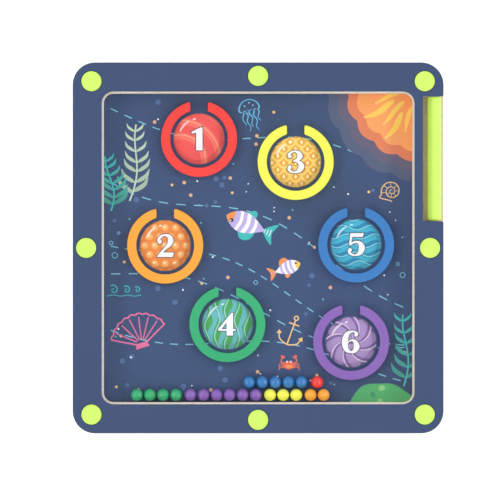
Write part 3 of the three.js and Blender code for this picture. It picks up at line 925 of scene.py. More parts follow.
def lay_anchor(motif, ink):
    """An anchor in line: a ring, a shank, a stock and a bow with two flukes."""
    motif.lay([oval(0, 0.9, 0.34), oval(0, 0.9, 0.18)[::-1]], ink)
    bow = smooth_line([(-0.72, -0.25), (-0.55, -0.62), (0, -0.82), (0.55, -0.62), (0.72, -0.25)])
    for line in ([(0, 0.74), (0, 0.3), (0, -0.78)], [(-0.34, 0.5), (0, 0.5), (0.34, 0.5)], bow):
        motif.stroke(line, 0.08, ink)
    for side in (-1, 1):
        fluke = np.array([(0.86, -0.38), (0.76, -0.08), (0.54, -0.28)]) * (side, 1)
        motif.lay([fluke[::side]], ink)


def lay_crab(motif, ink, dark_ink):
    """A crab: an oval shell with a paler belly, three legs to a side, two claws on their arms, and eyes."""
    for side in (-1, 1):
        for root, knee, foot in ((0.1, 0.2, -0.15), (-0.08, -0.02, -0.42), (-0.22, -0.26, -0.62)):
            leg = smooth_line([(0.5 * side, root), (0.95 * side, knee), (1.12 * side, foot)])
            motif.stroke(leg, np.linspace(0.13, 0.05, len(leg)), dark_ink)
        arm = smooth_line([(0.5 * side, 0.2), (0.86 * side, 0.45), (0.72 * side, 0.75)])
        motif.stroke(arm, 0.12, dark_ink)
        motif.spot(ink, 0.66 * side, 0.92, 0.46, 0.36, 0.5 * side)
        motif.lay([[(0.66 * side, 0.9), (0.36 * side, 1.2), (0.6 * side, 1.3)][::side]], FIELD_INK)
    motif.spot(ink, 0, 0, 1.3, 0.88)
    motif.spot(ORANGE_INK, 0, -0.14, 0.8, 0.4)
    for side in (-1, 1):
        motif.spot(WHITE_INK, 0.2 * side, 0.38, 0.22, steps=18)
        motif.spot(NUMERAL_EDGE_INK, 0.2 * side, 0.4, 0.1, steps=12)


def lay_jellyfish(motif, ink, rim_ink):
    """A jellyfish in line: a half oval bell over a scalloped rim, and five arms that sway by a sine of
    their length."""
    across = np.linspace(-1, 1, 41)
    rim = np.column_stack((across, -0.14 * np.abs(np.sin(2.5 * np.pi * (across + 1)))))
    bell = np.vstack((ray(np.linspace(0, np.pi, 30)) * (1, 0.95), rim[1:-1]))
    inner = bell * 0.86 + (0, 0.04)
    motif.lay([bell, inner[::-1]], ink)
    down = np.linspace(-0.1, -1, 16)
    for start, reach in ((-0.7, 1.3), (-0.35, 1.9), (0, 1.55), (0.35, 2.0), (0.7, 1.2)):
        line = np.column_stack((start + 0.1 * np.sin(6 * down * reach + 5 * start), reach * down))
        motif.stroke(line, np.linspace(0.12, 0.05, len(line)), ink)
    for spot_x, spot_y in ((-0.35, 0.4), (0.1, 0.6), (0.4, 0.3)):
        motif.spot(rim_ink, spot_x, spot_y, 0.16, steps=14)


def lay_snail(motif, ink):
    """A coiled shell in line: the distance from the middle grows with the angle, and bars cross the
    last turn."""
    angle = np.linspace(0.4 * np.pi, 5.2 * np.pi, 110)
    coil = polar(0.08 + 0.92 * (angle / angle[-1]) ** 1.5, angle)
    motif.stroke(coil, np.linspace(0.06, 0.1, len(coil)), ink)
    last_turn, bar_pitch = 66, 6
    for at in range(last_turn, len(coil), bar_pitch):
        inner = np.searchsorted(angle, angle[at] - FULL_TURN)
        motif.stroke(np.linspace(coil[inner], coil[at], 4), 0.05, ink)
    lip = smooth_line([coil[-1], coil[-1] + (-0.06, -0.34), (0.1, -0.9), (0.34, -0.96)])
    motif.stroke(lip, 0.09, ink)


def lay_swirls(motif, ink):
    """Three curling waves in line over a long low one: the distance from each curl's middle grows with
    the angle."""
    angle = np.linspace(0.2 * np.pi, 2.7 * np.pi, 44)
    curl = polar(0.1 + 0.5 * (angle / angle[-1]) ** 1.6, angle)
    for shift, scale in ((0, 1), (1.5, 0.82), (2.75, 0.66)):
        motif.stroke(curl * scale + (shift, 0), np.linspace(0.06, 0.13, len(curl)), ink)
    base = smooth_line([(-0.8, -0.72), (0, -0.6), (0.8, -0.72), (1.6, -0.6), (2.4, -0.72), (3.2, -0.6)])
    motif.stroke(base, 0.08, ink)


def lay_rock(motif, chance):
    """A mossy rock: a round whose edge rolls by two sines, with paler and darker patches and a lit side."""
    angle = np.linspace(0, FULL_TURN, 90, endpoint=False)
    reach = 1 + 0.04 * np.sin(3 * angle + 1) + 0.025 * np.sin(7 * angle)
    rock = reach[:, None] * (ray(angle) * (1, 0.86))
    motif.lay([rock], DARK_MOSS_INK)
    motif.lay([rock * 0.97 + (-0.03, 0.03)], MOSS_INK, within=[rock])
    for _ in range(16):
        x, y = chance.uniform(-0.85, 0.85, 2)
        ink = (PALE_MOSS_INK, DARK_MOSS_INK)[int(chance.integers(2))]
        width, height = chance.uniform(0.1, 0.34), chance.uniform(0.08, 0.2)
        motif.spot(ink, x, y, width, height, 0.4, steps=24, within=[rock])


def lay_bubbles(art, taken):
    """Dots and small open rings strewn at random over what is left of the sheet, with a fixed seed."""
    chance = np.random.default_rng(11)
    edge, tried, kept, apart = 119, 420, 84, 2
    places = chance.uniform(-edge, edge, (tried, 2))
    distance = np.hypot(*(places[:, None] - taken[None, :, :2]).transpose(2, 0, 1))
    free = places[np.all(distance > taken[:, 2] + apart, axis=1)][:kept]
    kinds = ((WHITE_INK, 1.5), (TAN_INK, 2.9), (DEEP_INK, 4.4), (WHITE_INK, 1.1), (DEEP_INK, 3.0),
             (CURRENT_INK, 1.3), (CREAM_INK, 2.3))
    for number, (x, y) in enumerate(free):
        ink, size = kinds[number % len(kinds)]
        art.lay([oval(x, y, size, steps=20)], ink)
    for x, y, size in ((-116, -6, 5), (-119, 4, 3.4), (-113, 12, 2.6), (117, -22, 4.6), (113, -13, 3),
                       (-2, -28, 3.6)):
        art.lay(hoop(x, y, size, 1.1, 28), CURRENT_INK)


def arcs_pattern(x, y, _radius):
    """Wide arcs round a point at the disc's lower left, and a thin one within each."""
    return tuple([edge for reach in reaches for edge in hoop(x - 15, y - 17, reach, line, DISC_POINTS)]
                 for reaches, line in (((92, 68, 44), 11), ((89, 65, 41), 1.4)))


def spots_pattern(x, y, radius):
    """Rows of round spots, each row shifted by half a step, with a light on each."""
    grid = np.stack(np.meshgrid(np.arange(-3, 4), np.arange(-3, 4)), axis=-1).reshape(-1, 2)
    spots = grid * (8.4, 7.3) + (grid[:, 1:] % 2) * (4.2, 0)
    spots = spots[np.hypot(*spots.T) < radius + 2]
    return ([oval(x + dx, y + dy, 5.6, steps=28) for dx, dy in spots],
            [oval(x + dx - 0.5, y + dy + 0.6, 2.2, steps=18) for dx, dy in spots])


def scales_pattern(x, y, radius):
    """Rows of open half rounds, each row shifted by half a step, with an oval in each."""
    arc = ray(np.linspace(np.pi * 1.02, np.pi * 1.98, 16)) * (4.7, 5.6)
    spots = [(column * 9.6 + (row % 2) * 4.8, row * 5.6 + 1)
             for row in range(-4, 5) for column in range(-3, 4)]
    spots = [(dx, dy) for dx, dy in spots if np.hypot(dx, dy) < radius + 5]
    return ([brush(arc + (x + dx, y + dy), 1.9) for dx, dy in spots],
            [oval(x + dx, y + dy - 1.8, 1.9, 3.2, steps=16) for dx, dy in spots])


def blades_pattern(x, y, radius):
    """Blades of grass that sway by a sine of their height, and a thin line beside each."""
    rise = np.linspace(-radius, radius, 50)
    blades = [np.column_stack((x + dx + 2.1 * np.sin(rise / 4.4 + dx), y + rise))
              for dx in np.arange(-20, 21, 8.0)]
    return ([brush(blade, 3.2 + 1.6 * np.sin(rise / 4.4) ** 2) for blade in blades],
            [brush(blade + (3.8, 0), 0.9) for blade in blades])


def waves_pattern(x, y, radius):
    """Waves that swing by a sine of x, and a thin line over each."""
    across = np.linspace(-radius, radius, 60)
    waves = [np.column_stack((x + across, y + dy + 1.9 * np.sin(across / 3.6 + dy)))
             for dy in np.arange(-18, 20, 7.2)]
    return [brush(wave, 3.4) for wave in waves], [brush(wave + (0, 2.9), 0.9) for wave in waves]


def spiral_pattern(x, y, radius):
    """Eight arms that widen and turn with the distance from the middle, and a thin line beside each."""
    reach = np.linspace(2.0, radius, 20)
    return tuple([brush((x, y) + polar(reach, turn + shift + 0.055 * reach), width)
                  for turn in turn_angles(8)]
                 for shift, width in ((0, 0.4 + 0.36 * reach), (0.33, 0.3 + 0.05 * reach)))


# Each disc's own pattern: a function of the disc's middle and radius that gives the loops of its middle
# ink and those of its pale ink.
DISC_PATTERNS = {"red": arcs_pattern, "orange": spots_pattern, "yellow": scales_pattern,
                 "green": blades_pattern, "blue": waves_pattern, "purple": spiral_pattern}


def lay_disc(art, colour, sizes):
    """A disc in three inks with painted shading, as if lit from the upper left: the inks go darker towards
    the lower right. They are laid again in a deeper tone within a painted shade crescent on that side and
    within a thin rim of painted shade where the ring's shadow would fall, and painted highlights follow the
    upper left edge."""
    x, y, _ = ring_centre(colour)
    radius = sizes.disc_width / MM / 2
    disc = oval(x, y, 2 * radius, steps=DISC_POINTS)
    shift = 0.07 * radius
    lit = oval(x - shift, y + shift, 1.79 * radius, steps=DISC_POINTS)
    middle = oval(x, y, 1.94 * radius, steps=DISC_POINTS)
    # Painted shade: each ink darkens along this line, from the upper left towards the lower right.
    along = ((x - 0.1 * radius, y + 0.2 * radius), (x + 0.75 * radius, y - 0.9 * radius))
    patterns = DISC_PATTERNS[colour](x, y, radius)
    # Painted shade: how dark each ink gets at the lower right end of its line.
    painted_shade_far_tone = 0.84
    # Painted shade: the inks again, darker in a crescent at the lower right and darker still in a thin rim
    # all round, where the ring's shadow falls.
    for region, tone in (([disc], 1), ([disc, lit[::-1]], 0.8), ([disc, middle[::-1]], 0.66)):
        for loops, ink in zip((region, *patterns), DISC_INKS[colour]):
            tinted = tone * np.array(ink)
            art.lay(loops, tinted, painted_shade_far_tone * tinted, along, within=region)
    # Painted highlight: pale strokes along the upper left edge, in place of light mirrored on a rounded
    # surface.
    gloss = 0.55 * np.array(DISC_INKS[colour][2]) + 0.45 * np.array(WHITE_INK)
    swell = np.sin(np.linspace(0.5, np.pi - 0.5, 14))
    for low, high, width in ((118, 160, 1.7), (99, 108, 1.5)):
        arc = (x, y) + 0.8 * radius * ray(np.radians(np.linspace(low, high, len(swell))))
        art.lay([brush(arc, width * swell)], gloss)


def lay_numeral(art, colour, sizes):
    """A numeral in the middle of its disc: first its dark edge, which is the same shape grown, and then
    its white face."""
    x, y, _ = ring_centre(colour)
    height = sizes.numeral_height / MM
    numeral = NUMERALS[colour]
    for grow, ink in ((sizes.numeral_edge / MM / height, NUMERAL_EDGE_INK), (0, WHITE_INK)):
        shapes = [mitred(corners, grow) for corners in numeral["slabs"]]
        for keys in numeral["strokes"]:
            line = smooth_line(keys)
            shapes.append(brush(line[:, :2], line[:, 2], grow))
        shapes += [oval(*middle, width + 2 * grow) for *middle, width in numeral["ends"]]
        for shape in shapes:
            art.lay([place(shape - (numeral["middle"], 0.5), x, y, height)], ink)


def lay_motifs(art):
    """The undersea picture round the discs. Bubbles keep clear of the rings and of the other motifs,
    which are given as x, y and radius."""
    motifs = [(104, 104, 56), (-97, 78, 22), (-118, 66, 14), (-12, 12, 26), (22, -12, 18), (-92, -62, 19),
              (27, -68, 16), (25, -95, 8), (-113, 32, 8), (-7, 112, 12), (108, 46, 9), (104, -118, 22),
              (118, -70, 8), (-104, -36, 14)]
    lay_field(art)
    lay_currents(art)
    lay_bubbles(art, np.array([ring_centre(colour) for colour in COLOURS] + motifs, float))
    lay_coral(art)
    lay_kelp(art, -104, 38, 62, 8, SAGE_INK, PALE_SAGE_INK)
    lay_kelp(art, -119, 30, 44, -2, WEED_INK, TEAL_INK)
    lay_kelp(art, 118, -112, 58, 2, WEED_INK, TEAL_INK, pairs=6)
    lay_rock(Motif(art, 100, -132, 27, 0.1), np.random.default_rng(4))
    lay_fish(Motif(art, -10, 20, 17, 2.75), LAVENDER_INK, WHITE_INK, TEAL_INK, ORANGE_INK)
    lay_fish(Motif(art, 24, -16, 11, 0.35), WHITE_INK, LAVENDER_INK, ORANGE_INK, YELLOW_INK)
    lay_shell(Motif(art, -94, -78, 24, 0.3), PINK_INK)
    lay_anchor(Motif(art, 27, -68, 13, -0.35), CREAM_INK)
    lay_crab(Motif(art, 25, -95, 7.5), RED_INK, DARK_ORANGE_INK)
    lay_jellyfish(Motif(art, -7, 112, 9, 0.25), SKETCH_BLUE_INK, CURRENT_INK)
    lay_snail(Motif(art, 108, 46, 8.5, -0.3), CREAM_INK)
    lay_swirls(Motif(art, -117, -34, 7), TEAL_INK)


def play_sheet_piece(sizes, material):
    """The sheet: one flat piece whose top is cut along the edges of the inks, with a colour on each
    corner of each triangle. Its sides hang from the edges that only one triangle has."""
    art = PrintedArt()
    lay_motifs(art)
    for colour in COLOURS:
        lay_disc(art, colour, sizes)
        lay_numeral(art, colour, sizes)
    outline = square_path(SHEET_HIGH[0], CHAMBER_CORNER_RADIUS - LET_IN_CLEARANCE)[0]
    flat, faces = triangulate([outline, *art.loops()])
    used, faces = np.unique(faces[covers([outline], flat[faces].mean(1))], return_inverse=True)
    flat, faces = flat[used], faces.reshape(-1, 3)
    edges = faces[:, [0, 1, 1, 2, 2, 0]].reshape(-1, 2)
    _, first, count = np.unique(np.sort(edges, axis=1), axis=0, return_index=True, return_counts=True)
    rim = edges[first[count == 1]]
    under = len(flat)
    sides = np.column_stack((rim + under, rim[:, ::-1]))
    surface = Surface()
    points = np.vstack((flat_at(flat, SHEET_HIGH[2]), flat_at(flat, SHEET_LOW[2])))
    surface.add(points, faces, faces[:, ::-1] + under, sides)
    mesh = bpy.data.meshes.new("printed_sheet")
    mesh.from_pydata((points * MM).tolist(), [], surface.faces)
    inked = art.colour_corners(flat, faces, FIELD_INK).reshape(-1, 3)
    bare = np.broadcast_to(BARE_CARD, (3 * len(faces) + 4 * len(sides), 3))
    tint = np.vstack((inked, bare))
    layer = mesh.color_attributes.new("print_colour", "FLOAT_COLOR", "CORNER")
    layer.data.foreach_set("color", np.column_stack((tint, np.ones(len(tint)))).ravel())
    add_piece("printed_sheet_layer", mesh, "board", [material], ["play_sheet"])


# Finishes

def plug(tree, node, sockets):
    """Gives each named socket of a node a value, or links it to an output."""
    for name, value in sockets.items():
        if isinstance(value, bpy.types.NodeSocket):
            tree.links.new(value, node.inputs[name])
        else:
            node.inputs[name].default_value = value
    return node


def add_node(tree, kind, sockets=None, **settings):
    """A shader node with its settings and its named sockets."""
    made = tree.nodes.new(kind)
    for name, value in settings.items():
        setattr(made, name, value)
    return plug(tree, made, sockets or {})


def combine(tree, first, operation, second, **settings):
    """Two values put together by arithmetic."""
    sockets = {0: first, 1: second}
    return add_node(tree, "ShaderNodeMath", sockets, operation=operation, **settings).outputs[0]


def largest(tree, first, *others):
    """The largest of some values."""
    for other in others:
        first = combine(tree, first, "MAXIMUM", other)
    return first


def mix_colours(tree, share, first, second, mode="MIX"):
    """Two colours blended by a share, or combined in another mode."""
    sockets = {0: share, 6: first, 7: second}
    return add_node(tree, "ShaderNodeMix", sockets, data_type="RGBA", blend_type=mode).outputs[2]


def deepened(tree, colour, filter_colour):
    """A colour seen through another one."""
    return mix_colours(tree, 1.0, colour, filter_colour, "MULTIPLY")


def place_on_piece(tree):
    """The place on the piece, in metres along its own axes."""
    return add_node(tree, "ShaderNodeTexCoord").outputs["Object"]


def noise(tree, where, scale, detail, stretch=None):
    """A noise of the place on the piece, in features to the metre, stretched along the axes if asked."""
    if stretch:
        where = add_node(tree, "ShaderNodeMapping", {"Vector": where, "Scale": stretch}).outputs[0]
    sockets = {"Vector": where, "Scale": scale, "Detail": detail}
    return add_node(tree, "ShaderNodeTexNoise", sockets).outputs["Fac"]


def spread(tree, value, low, high, to_low, to_high):
    """A value's range carried over to another range."""
    return add_node(tree, "ShaderNodeMapRange", {
        "Value": value, "From Min": low, "From Max": high, "To Min": to_low, "To Max": to_high}).outputs[0]


def around(tree, value, change, reach):
    """A value moved up and down by a noise, by at most the reach."""
    return combine(tree, value, "ADD", spread(tree, change, 0.25, 0.75, -reach, reach), use_clamp=True)


def bump(tree, height, strength, distance):
    """The normal of a surface with a relief, whose distance is in metres."""
    sockets = {"Height": height, "Strength": strength, "Distance": distance}
    return add_node(tree, "ShaderNodeBump", sockets).outputs[0]


def build_sprayed_paint(tree, colour, roughness, where):
    """Paint sprayed on board: a slow drift of tone, a fine orange peel and the droplets' faint mottle."""
    drift = noise(tree, where, 14, 3)
    peel = noise(tree, where, 650, 1)
    droplets = noise(tree, where, 2400, 2)
    darker = deepened(tree, colour, (0.95, 0.95, 0.96, 1))
    tone = mix_colours(tree, spread(tree, drift, 0.35, 0.65, 0, 1), darker, colour)
    paler = mix_colours(tree, 1.0, tone, (0.035, 0.035, 0.035, 1), "ADD")
    mottled = mix_colours(tree, spread(tree, droplets, 0.58, 0.74, 0, 0.35), tone, paler)
    height = combine(tree, peel, "ADD", droplets)
    return mottled, around(tree, roughness, peel, 0.05), bump(tree, height, 0.16, 0.00012)


def build_bare_fibreboard(tree, colour, roughness, where):
    """Pressed wood fibre: short fibres that lie flat, brown specks and a dry, felted surface."""
    fibre = noise(tree, where, 900, 4, (1, 0.35, 3.2))
    cross_fibre = noise(tree, where, 760, 4, (0.35, 1, 3.2))
    felt = mix_colours(tree, 0.5, fibre, cross_fibre)
    darker = deepened(tree, colour, (0.88, 0.82, 0.74, 1))
    tone = mix_colours(tree, spread(tree, felt, 0.36, 0.56, 0, 1), darker, colour)
    speck = spread(tree, noise(tree, where, 1300, 1), 0.72, 0.8, 0, 0.4)
    dotted = mix_colours(tree, speck, tone, (0.3, 0.2, 0.11, 1))
    return dotted, around(tree, roughness, fibre, 0.08), bump(tree, felt, 0.35, 0.0002)


def build_moulded_plastic(tree, colour, roughness, where):
    """Moulded plastic: a cloudy drift of tone, a fine spark texture and soft flow lines."""
    drift = noise(tree, where, 60, 2)
    spark = noise(tree, where, 2600, 1)
    flow = noise(tree, where, 90, 3, (1, 0.2, 1))
    deeper = deepened(tree, colour, (0.95, 0.96, 0.93, 1))
    tone = mix_colours(tree, spread(tree, drift, 0.35, 0.65, 0, 1), deeper, colour)
    return tone, around(tree, roughness, flow, 0.05), bump(tree, spark, 0.06, 0.00006)


FINISHES = {"Sprayed paint": build_sprayed_paint, "Bare fibreboard": build_bare_fibreboard,
            "Moulded plastic": build_moulded_plastic}


def finish_group(name):
    """A node group with a colour, a roughness and a grain size going in, and a colour, a roughness and a
    normal coming out. It is built once."""
    tree = bpy.data.node_groups.get(name)
    if tree:
        return tree
    tree = bpy.data.node_groups.new(name, "ShaderNodeTree")
    for title, kind, value in (("Colour", "Color", (0.5, 0.5, 0.5, 1)), ("Roughness", "Float", 0.5),
                               ("Grain Size", "Float", 1.0)):
        kind = "NodeSocket" + kind
        tree.interface.new_socket(title, in_out="INPUT", socket_type=kind).default_value = value
    for title, kind in (("Colour", "Color"), ("Roughness", "Float"), ("Normal", "Vector")):
        tree.interface.new_socket(title, in_out="OUTPUT", socket_type="NodeSocket" + kind)
    inputs = tree.nodes.new("NodeGroupInput").outputs
    sockets = {0: place_on_piece(tree), 1: inputs["Grain Size"]}
    where = add_node(tree, "ShaderNodeVectorMath", sockets, operation="DIVIDE").outputs[0]
    colour, roughness, normal = FINISHES[name](tree, inputs["Colour"], inputs["Roughness"], where)
    add_node(tree, "NodeGroupOutput", {"Colour": colour, "Roughness": roughness, "Normal": normal})
    return tree


def new_material(name):
    """A new material with its node tree and its surface shader."""
    material = bpy.data.materials.new(name)
    material.use_nodes = True
    tree = material.node_tree
    return material, tree, tree.nodes["Principled BSDF"]


def finish_material(name, finish, colour, roughness, **shader):
    """The material of that name, whose colour, roughness and normal come out of a finish group."""
    material = bpy.data.materials.get(name)
    if material:
        return material
    material, tree, surface = new_material(name)
    group = add_node(tree, "ShaderNodeGroup", node_tree=finish_group(finish))
    plug(tree, group, {"Colour": (*colour, 1), "Roughness": roughness, "Grain Size": 1.0})
    plug(tree, surface, {"Base Color": group.outputs["Colour"], "Roughness": group.outputs["Roughness"],
                         "Normal": group.outputs["Normal"]})
    plug(tree, surface, {title.replace("_", " "): value for title, value in shader.items()})
    return material


def painted(name, colour):
    return finish_material(name, "Sprayed paint", colour, 0.55, Specular_IOR_Level=0.3)


def bare_fibreboard(name, colour):
    return finish_material(name, "Bare fibreboard", colour, 0.8)


def lime_moulding(colours):
    return finish_material("lime_moulding", "Moulded plastic", colours.lime_plastic, 0.42)


def print_material():
    """Ink on coated card: the print's own colours, a fine screen of tone, and a faint gloss."""
    material, tree, surface = new_material("printed_card")
    ink = add_node(tree, "ShaderNodeAttribute", attribute_name="print_colour").outputs["Color"]
    where = place_on_piece(tree)
    card = noise(tree, where, 1800, 2)
    cloud = noise(tree, where, 22, 3)
    share = spread(tree, cloud, 0.3, 0.7, 0, 1)
    toned = mix_colours(tree, share, ink, deepened(tree, ink, (0.93, 0.94, 0.96, 1)))
    grained = mix_colours(tree, spread(tree, card, 0.6, 0.8, 0, 0.06), toned, (0.8, 0.8, 0.82, 1))
    plug(tree, surface, {"Base Color": grained, "Roughness": spread(tree, card, 0.3, 0.7, 0.5, 0.62),
                         "Normal": bump(tree, card, 0.05, 0.00005)})
    return material


def cover_material():
    """Clear acrylic. Its faint smears change its gloss. Light and mirrored rays go straight through it to
    and from what lies beneath."""
    material, tree, surface = new_material("clear_acrylic")
    plug(tree, surface, {"Base Color": (0.99, 0.995, 1, 1), "Metallic": 0, "Transmission Weight": 1,
                         "IOR": 1.49})
    smear = noise(tree, place_on_piece(tree), 30, 4, (1, 0.4, 1))
    plug(tree, surface, {"Roughness": spread(tree, smear, 0.55, 0.8, 0.0, 0.05)})
    path = add_node(tree, "ShaderNodeLightPath").outputs
    passing = largest(tree, path["Is Shadow Ray"], path["Is Diffuse Ray"], path["Is Glossy Ray"])
    clear = add_node(tree, "ShaderNodeBsdfTransparent").outputs[0]
    sockets = {0: passing, 1: surface.outputs[0], 2: clear}
    mixed = add_node(tree, "ShaderNodeMixShader", sockets).outputs[0]
    plug(tree, tree.nodes["Material Output"], {"Surface": mixed})
    return material


def steel_material():
    """Nickel-plated steel: turning marks as fine bands, and a cloudy, slightly yellow plate."""
    material, tree, surface = new_material("plated_steel")
    where = place_on_piece(tree)
    cloud = noise(tree, where, 160, 3)
    marks = noise(tree, where, 5000, 1)
    plate = mix_colours(tree, cloud, (0.72, 0.71, 0.68, 1), (0.8, 0.79, 0.76, 1))
    polish = spread(tree, cloud, 0.3, 0.7, 0.22, 0.38)
    plug(tree, surface, {"Metallic": 1, "Base Color": plate, "Roughness": polish,
                         "Normal": bump(tree, marks, 0.08, 0.00003)})
    return material


# Stage

# The floor, the lamps and the reach of the view are in metres. The sky is dim within some degrees of
# straight overhead, where it keeps a share of its light, and is even from some more degrees on.
FLOOR_HALF = 6.0
FLOOR_DROP = 0.0002
LAMP_DISTANCE = 1.45
LAMP_HEIGHT = 1.11
LAMP_WIDTH = 0.29
LAMP_LENGTH = 2.2
VIEW_DEPTH = 50
OPEN_SKY_FROM = 7
DIM_SKY_WITHIN = 3
DIM_SKY = 0.1
WHITE = (1, 1, 1, 1)


def build_floor(stage):
    """A large floor just under the board, which keeps the board's shadow and looks white to the camera."""
    mesh = bpy.data.meshes.new("floor")
    corners = FLOOR_HALF * np.array([(-1, -1), (1, -1), (1, 1), (-1, 1)])
    mesh.from_pydata(flat_at(corners, BOARD_LOW[2] * MM - FLOOR_DROP).tolist(), [], [(0, 1, 2, 3)])
    material, tree, surface = new_material("pale_floor")
    path = add_node(tree, "ShaderNodeLightPath").outputs
    seen = largest(tree, path["Is Camera Ray"], path["Is Glossy Ray"], path["Is Transmission Ray"])
    lift = combine(tree, seen, "MULTIPLY", stage.floor_lift)
    plug(tree, surface, {"Base Color": (0.85, 0.85, 0.85, 1), "Roughness": 0.9, "Emission Color": WHITE,
                         "Emission Strength": lift})
    mesh.materials.append(material)
    floor = bpy.data.objects.new("floor", mesh)
    bpy.context.scene.collection.objects.link(floor)


def build_sky(stage):
    """An even sky that is dim straight overhead, where it would be mirrored in the cover. The camera
    sees it as white, and so do mirrors but for its dim part."""
    world = bpy.data.worlds.new("studio")
    world.use_nodes = True
    tree = world.node_tree
    way = add_node(tree, "ShaderNodeTexCoord").outputs["Generated"]
    height = add_node(tree, "ShaderNodeSeparateXYZ", {0: way}).outputs["Z"]
    path = add_node(tree, "ShaderNodeLightPath").outputs
    mirrored = largest(tree, path["Is Glossy Ray"], path["Is Transmission Ray"])
    level = spread(tree, mirrored, 0, 1, stage.sky, 1)
    low, high = np.cos(np.radians((OPEN_SKY_FROM, DIM_SKY_WITHIN)))
    open_sky = spread(tree, height, low, high, 1, DIM_SKY)
    sky = combine(tree, open_sky, "MULTIPLY", level)
    seen = largest(tree, sky, path["Is Camera Ray"])
    plug(tree, tree.nodes["Background"], {"Color": WHITE, "Strength": seen})
    bpy.context.scene.world = world


def build_lamps(stage):
    """A long soft lamp on the left and on the right, which the cover doesn't mirror. The power that
    lights the middle of the board is half the strength times the square of pi and of the distance,
    over the cosine of the light's slant."""
    unlit = bpy.data.collections.new("not_lit_by_the_lamps")
    unlit.objects.link(bpy.data.objects["cover_sheet"])
    unlit.collection_objects[0].light_linking.link_state = "EXCLUDE"
    reach = np.hypot(LAMP_DISTANCE, LAMP_HEIGHT)
    for name, side in (("left_lamp", -1), ("right_lamp", 1)):
        lamp = bpy.data.lights.new(name, "AREA")
        lamp.shape = "RECTANGLE"
        lamp.size = LAMP_WIDTH
        lamp.size_y = LAMP_LENGTH
        lamp.energy = stage.side_lamps / 2 * np.pi ** 2 * reach ** 2 / (LAMP_HEIGHT / reach)
        holder = bpy.data.objects.new(name, lamp)
        holder.location = (side * LAMP_DISTANCE, 0, LAMP_HEIGHT)
        holder.rotation_euler = (0, side * np.arctan2(LAMP_DISTANCE, LAMP_HEIGHT), 0)
        holder.light_linking.receiver_collection = unlit
        bpy.context.scene.collection.objects.link(holder)


def build_camera(stage):
    """A long lens straight above the board."""
    camera = bpy.data.cameras.new("camera")
    camera.sensor_width = 36
    camera.lens = camera.sensor_width * stage.camera_height / stage.view_width
    camera.clip_end = VIEW_DEPTH
    holder = bpy.data.objects.new("camera", camera)
    holder.location = (stage.view_x, stage.view_y, FRONT_TOP * MM + stage.camera_height)
    bpy.context.scene.collection.objects.link(holder)
    bpy.context.scene.camera = holder


# Settings

def length(name, description, millimetres):
    return FloatProperty(name=name, description=description, default=millimetres * MM, min=0, precision=5,
                         subtype="DISTANCE", unit="LENGTH")


def place_along(name, millimetres):
    return FloatProperty(name=name, description="Where the middle of the view is", default=millimetres * MM,
                         subtype="DISTANCE", unit="LENGTH")


def tint(name, description, *screen):
    return FloatVectorProperty(name=name, description=description, default=srgb(*screen), min=0, max=1,
                               size=3, subtype="COLOR")


def strength(name, description, share):
    return FloatProperty(name=name, description=description, default=share, min=0, max=1, subtype="FACTOR")


class MazeBoardSizes(bpy.types.PropertyGroup):
    edge_round: length("Front Edge", "Rounding of the painted frame's front edges", 0.8)
    seam_round: length("Layer Edge", "Rounding of the edges where two layers meet", 0.25)
    ring_edge_round: length("Ring Edge", "Rounding of a ring's top edges", 0.6)
    ring_corner_round: length("Ring Corner", "Rounding of the corners of a ring's mouth", 1.3)
    cap_edge_round: length("Cap Edge", "Rounding of a screw cap's edge", 0.6)
    cap_edge_gap: length("Cap Gap", "How much a cap stands in from its full width", 0.07)
    cap_dome: length("Cap Dome", "How much higher a cap is in its middle", 0.1)
    bead_seam_depth: length("Bead Seam", "Depth of a bead's parting groove", 0.04)
    pen_seam: length("Pen Seam", "Bevel where the pen's tip meets its barrel", 0.08)
    pen_tip_chamfer: length("Pen Tip", "Chamfer round the end of the pen's tip", 0.7)
    disc_width: length("Disc", "Width of the printed disc in each ring", 41.2)
    numeral_height: length("Numeral", "Height of the numeral on each disc", 18.6)
    numeral_edge: length("Numeral Edge", "Width of the dark edge round a numeral", 0.62)


class MazeBoardColours(bpy.types.PropertyGroup):
    navy_paint: tint("Navy Paint", "The painted front frame", 59, 78, 115)
    pale_board: tint("Pale Board", "The bare fibreboard of the wall frame", 253, 246, 236)
    tan_board: tint("Tan Board", "The bare fibreboard of the base", 236, 222, 192)
    lime_plastic: tint("Lime Plastic", "The screw caps and the pen", 212, 252, 109)
    ring_red: tint("Red Ring", "Paint of the first ring", 252, 70, 64)
    ring_orange: tint("Orange Ring", "Paint of the second ring", 253, 173, 62)
    ring_yellow: tint("Yellow Ring", "Paint of the third ring", 253, 253, 92)
    ring_green: tint("Green Ring", "Paint of the fourth ring", 57, 177, 120)
    ring_blue: tint("Blue Ring", "Paint of the fifth ring", 59, 126, 195)
    ring_purple: tint("Purple Ring", "Paint of the sixth ring", 140, 103, 184)
    bead_red: tint("Red Bead", "Plastic of the red bead", 248, 56, 56)
    bead_orange: tint("Orange Beads", "Plastic of the orange beads", 255, 174, 52)
    bead_yellow: tint("Yellow Beads", "Plastic of the yellow beads", 255, 255, 88)
    bead_green: tint("Green Beads", "Plastic of the green beads", 44, 174, 112)
    bead_blue: tint("Blue Beads", "Plastic of the blue beads", 40, 122, 192)
    bead_purple: tint("Purple Beads", "Plastic of the purple beads", 136, 95, 184)


class MazeBoardStage(bpy.types.PropertyGroup):
    camera_height: length("Camera Height", "How far the camera stands above the front frame", 12000)
    view_width: length("View Width", "Width of what the camera sees at the front frame", 404.4)
    view_x: place_along("View X", -6.56)
    view_y: place_along("View Y", -1.7)
    sky: strength("Sky", "Strength of the light that comes evenly from all round", 0.82)
    side_lamps: strength("Side Lamps", "Strength of the light that comes from the two side lamps", 0.36)
    floor_lift: strength("Floor Lift", "Light that the floor adds in the camera's eye", 0.42)


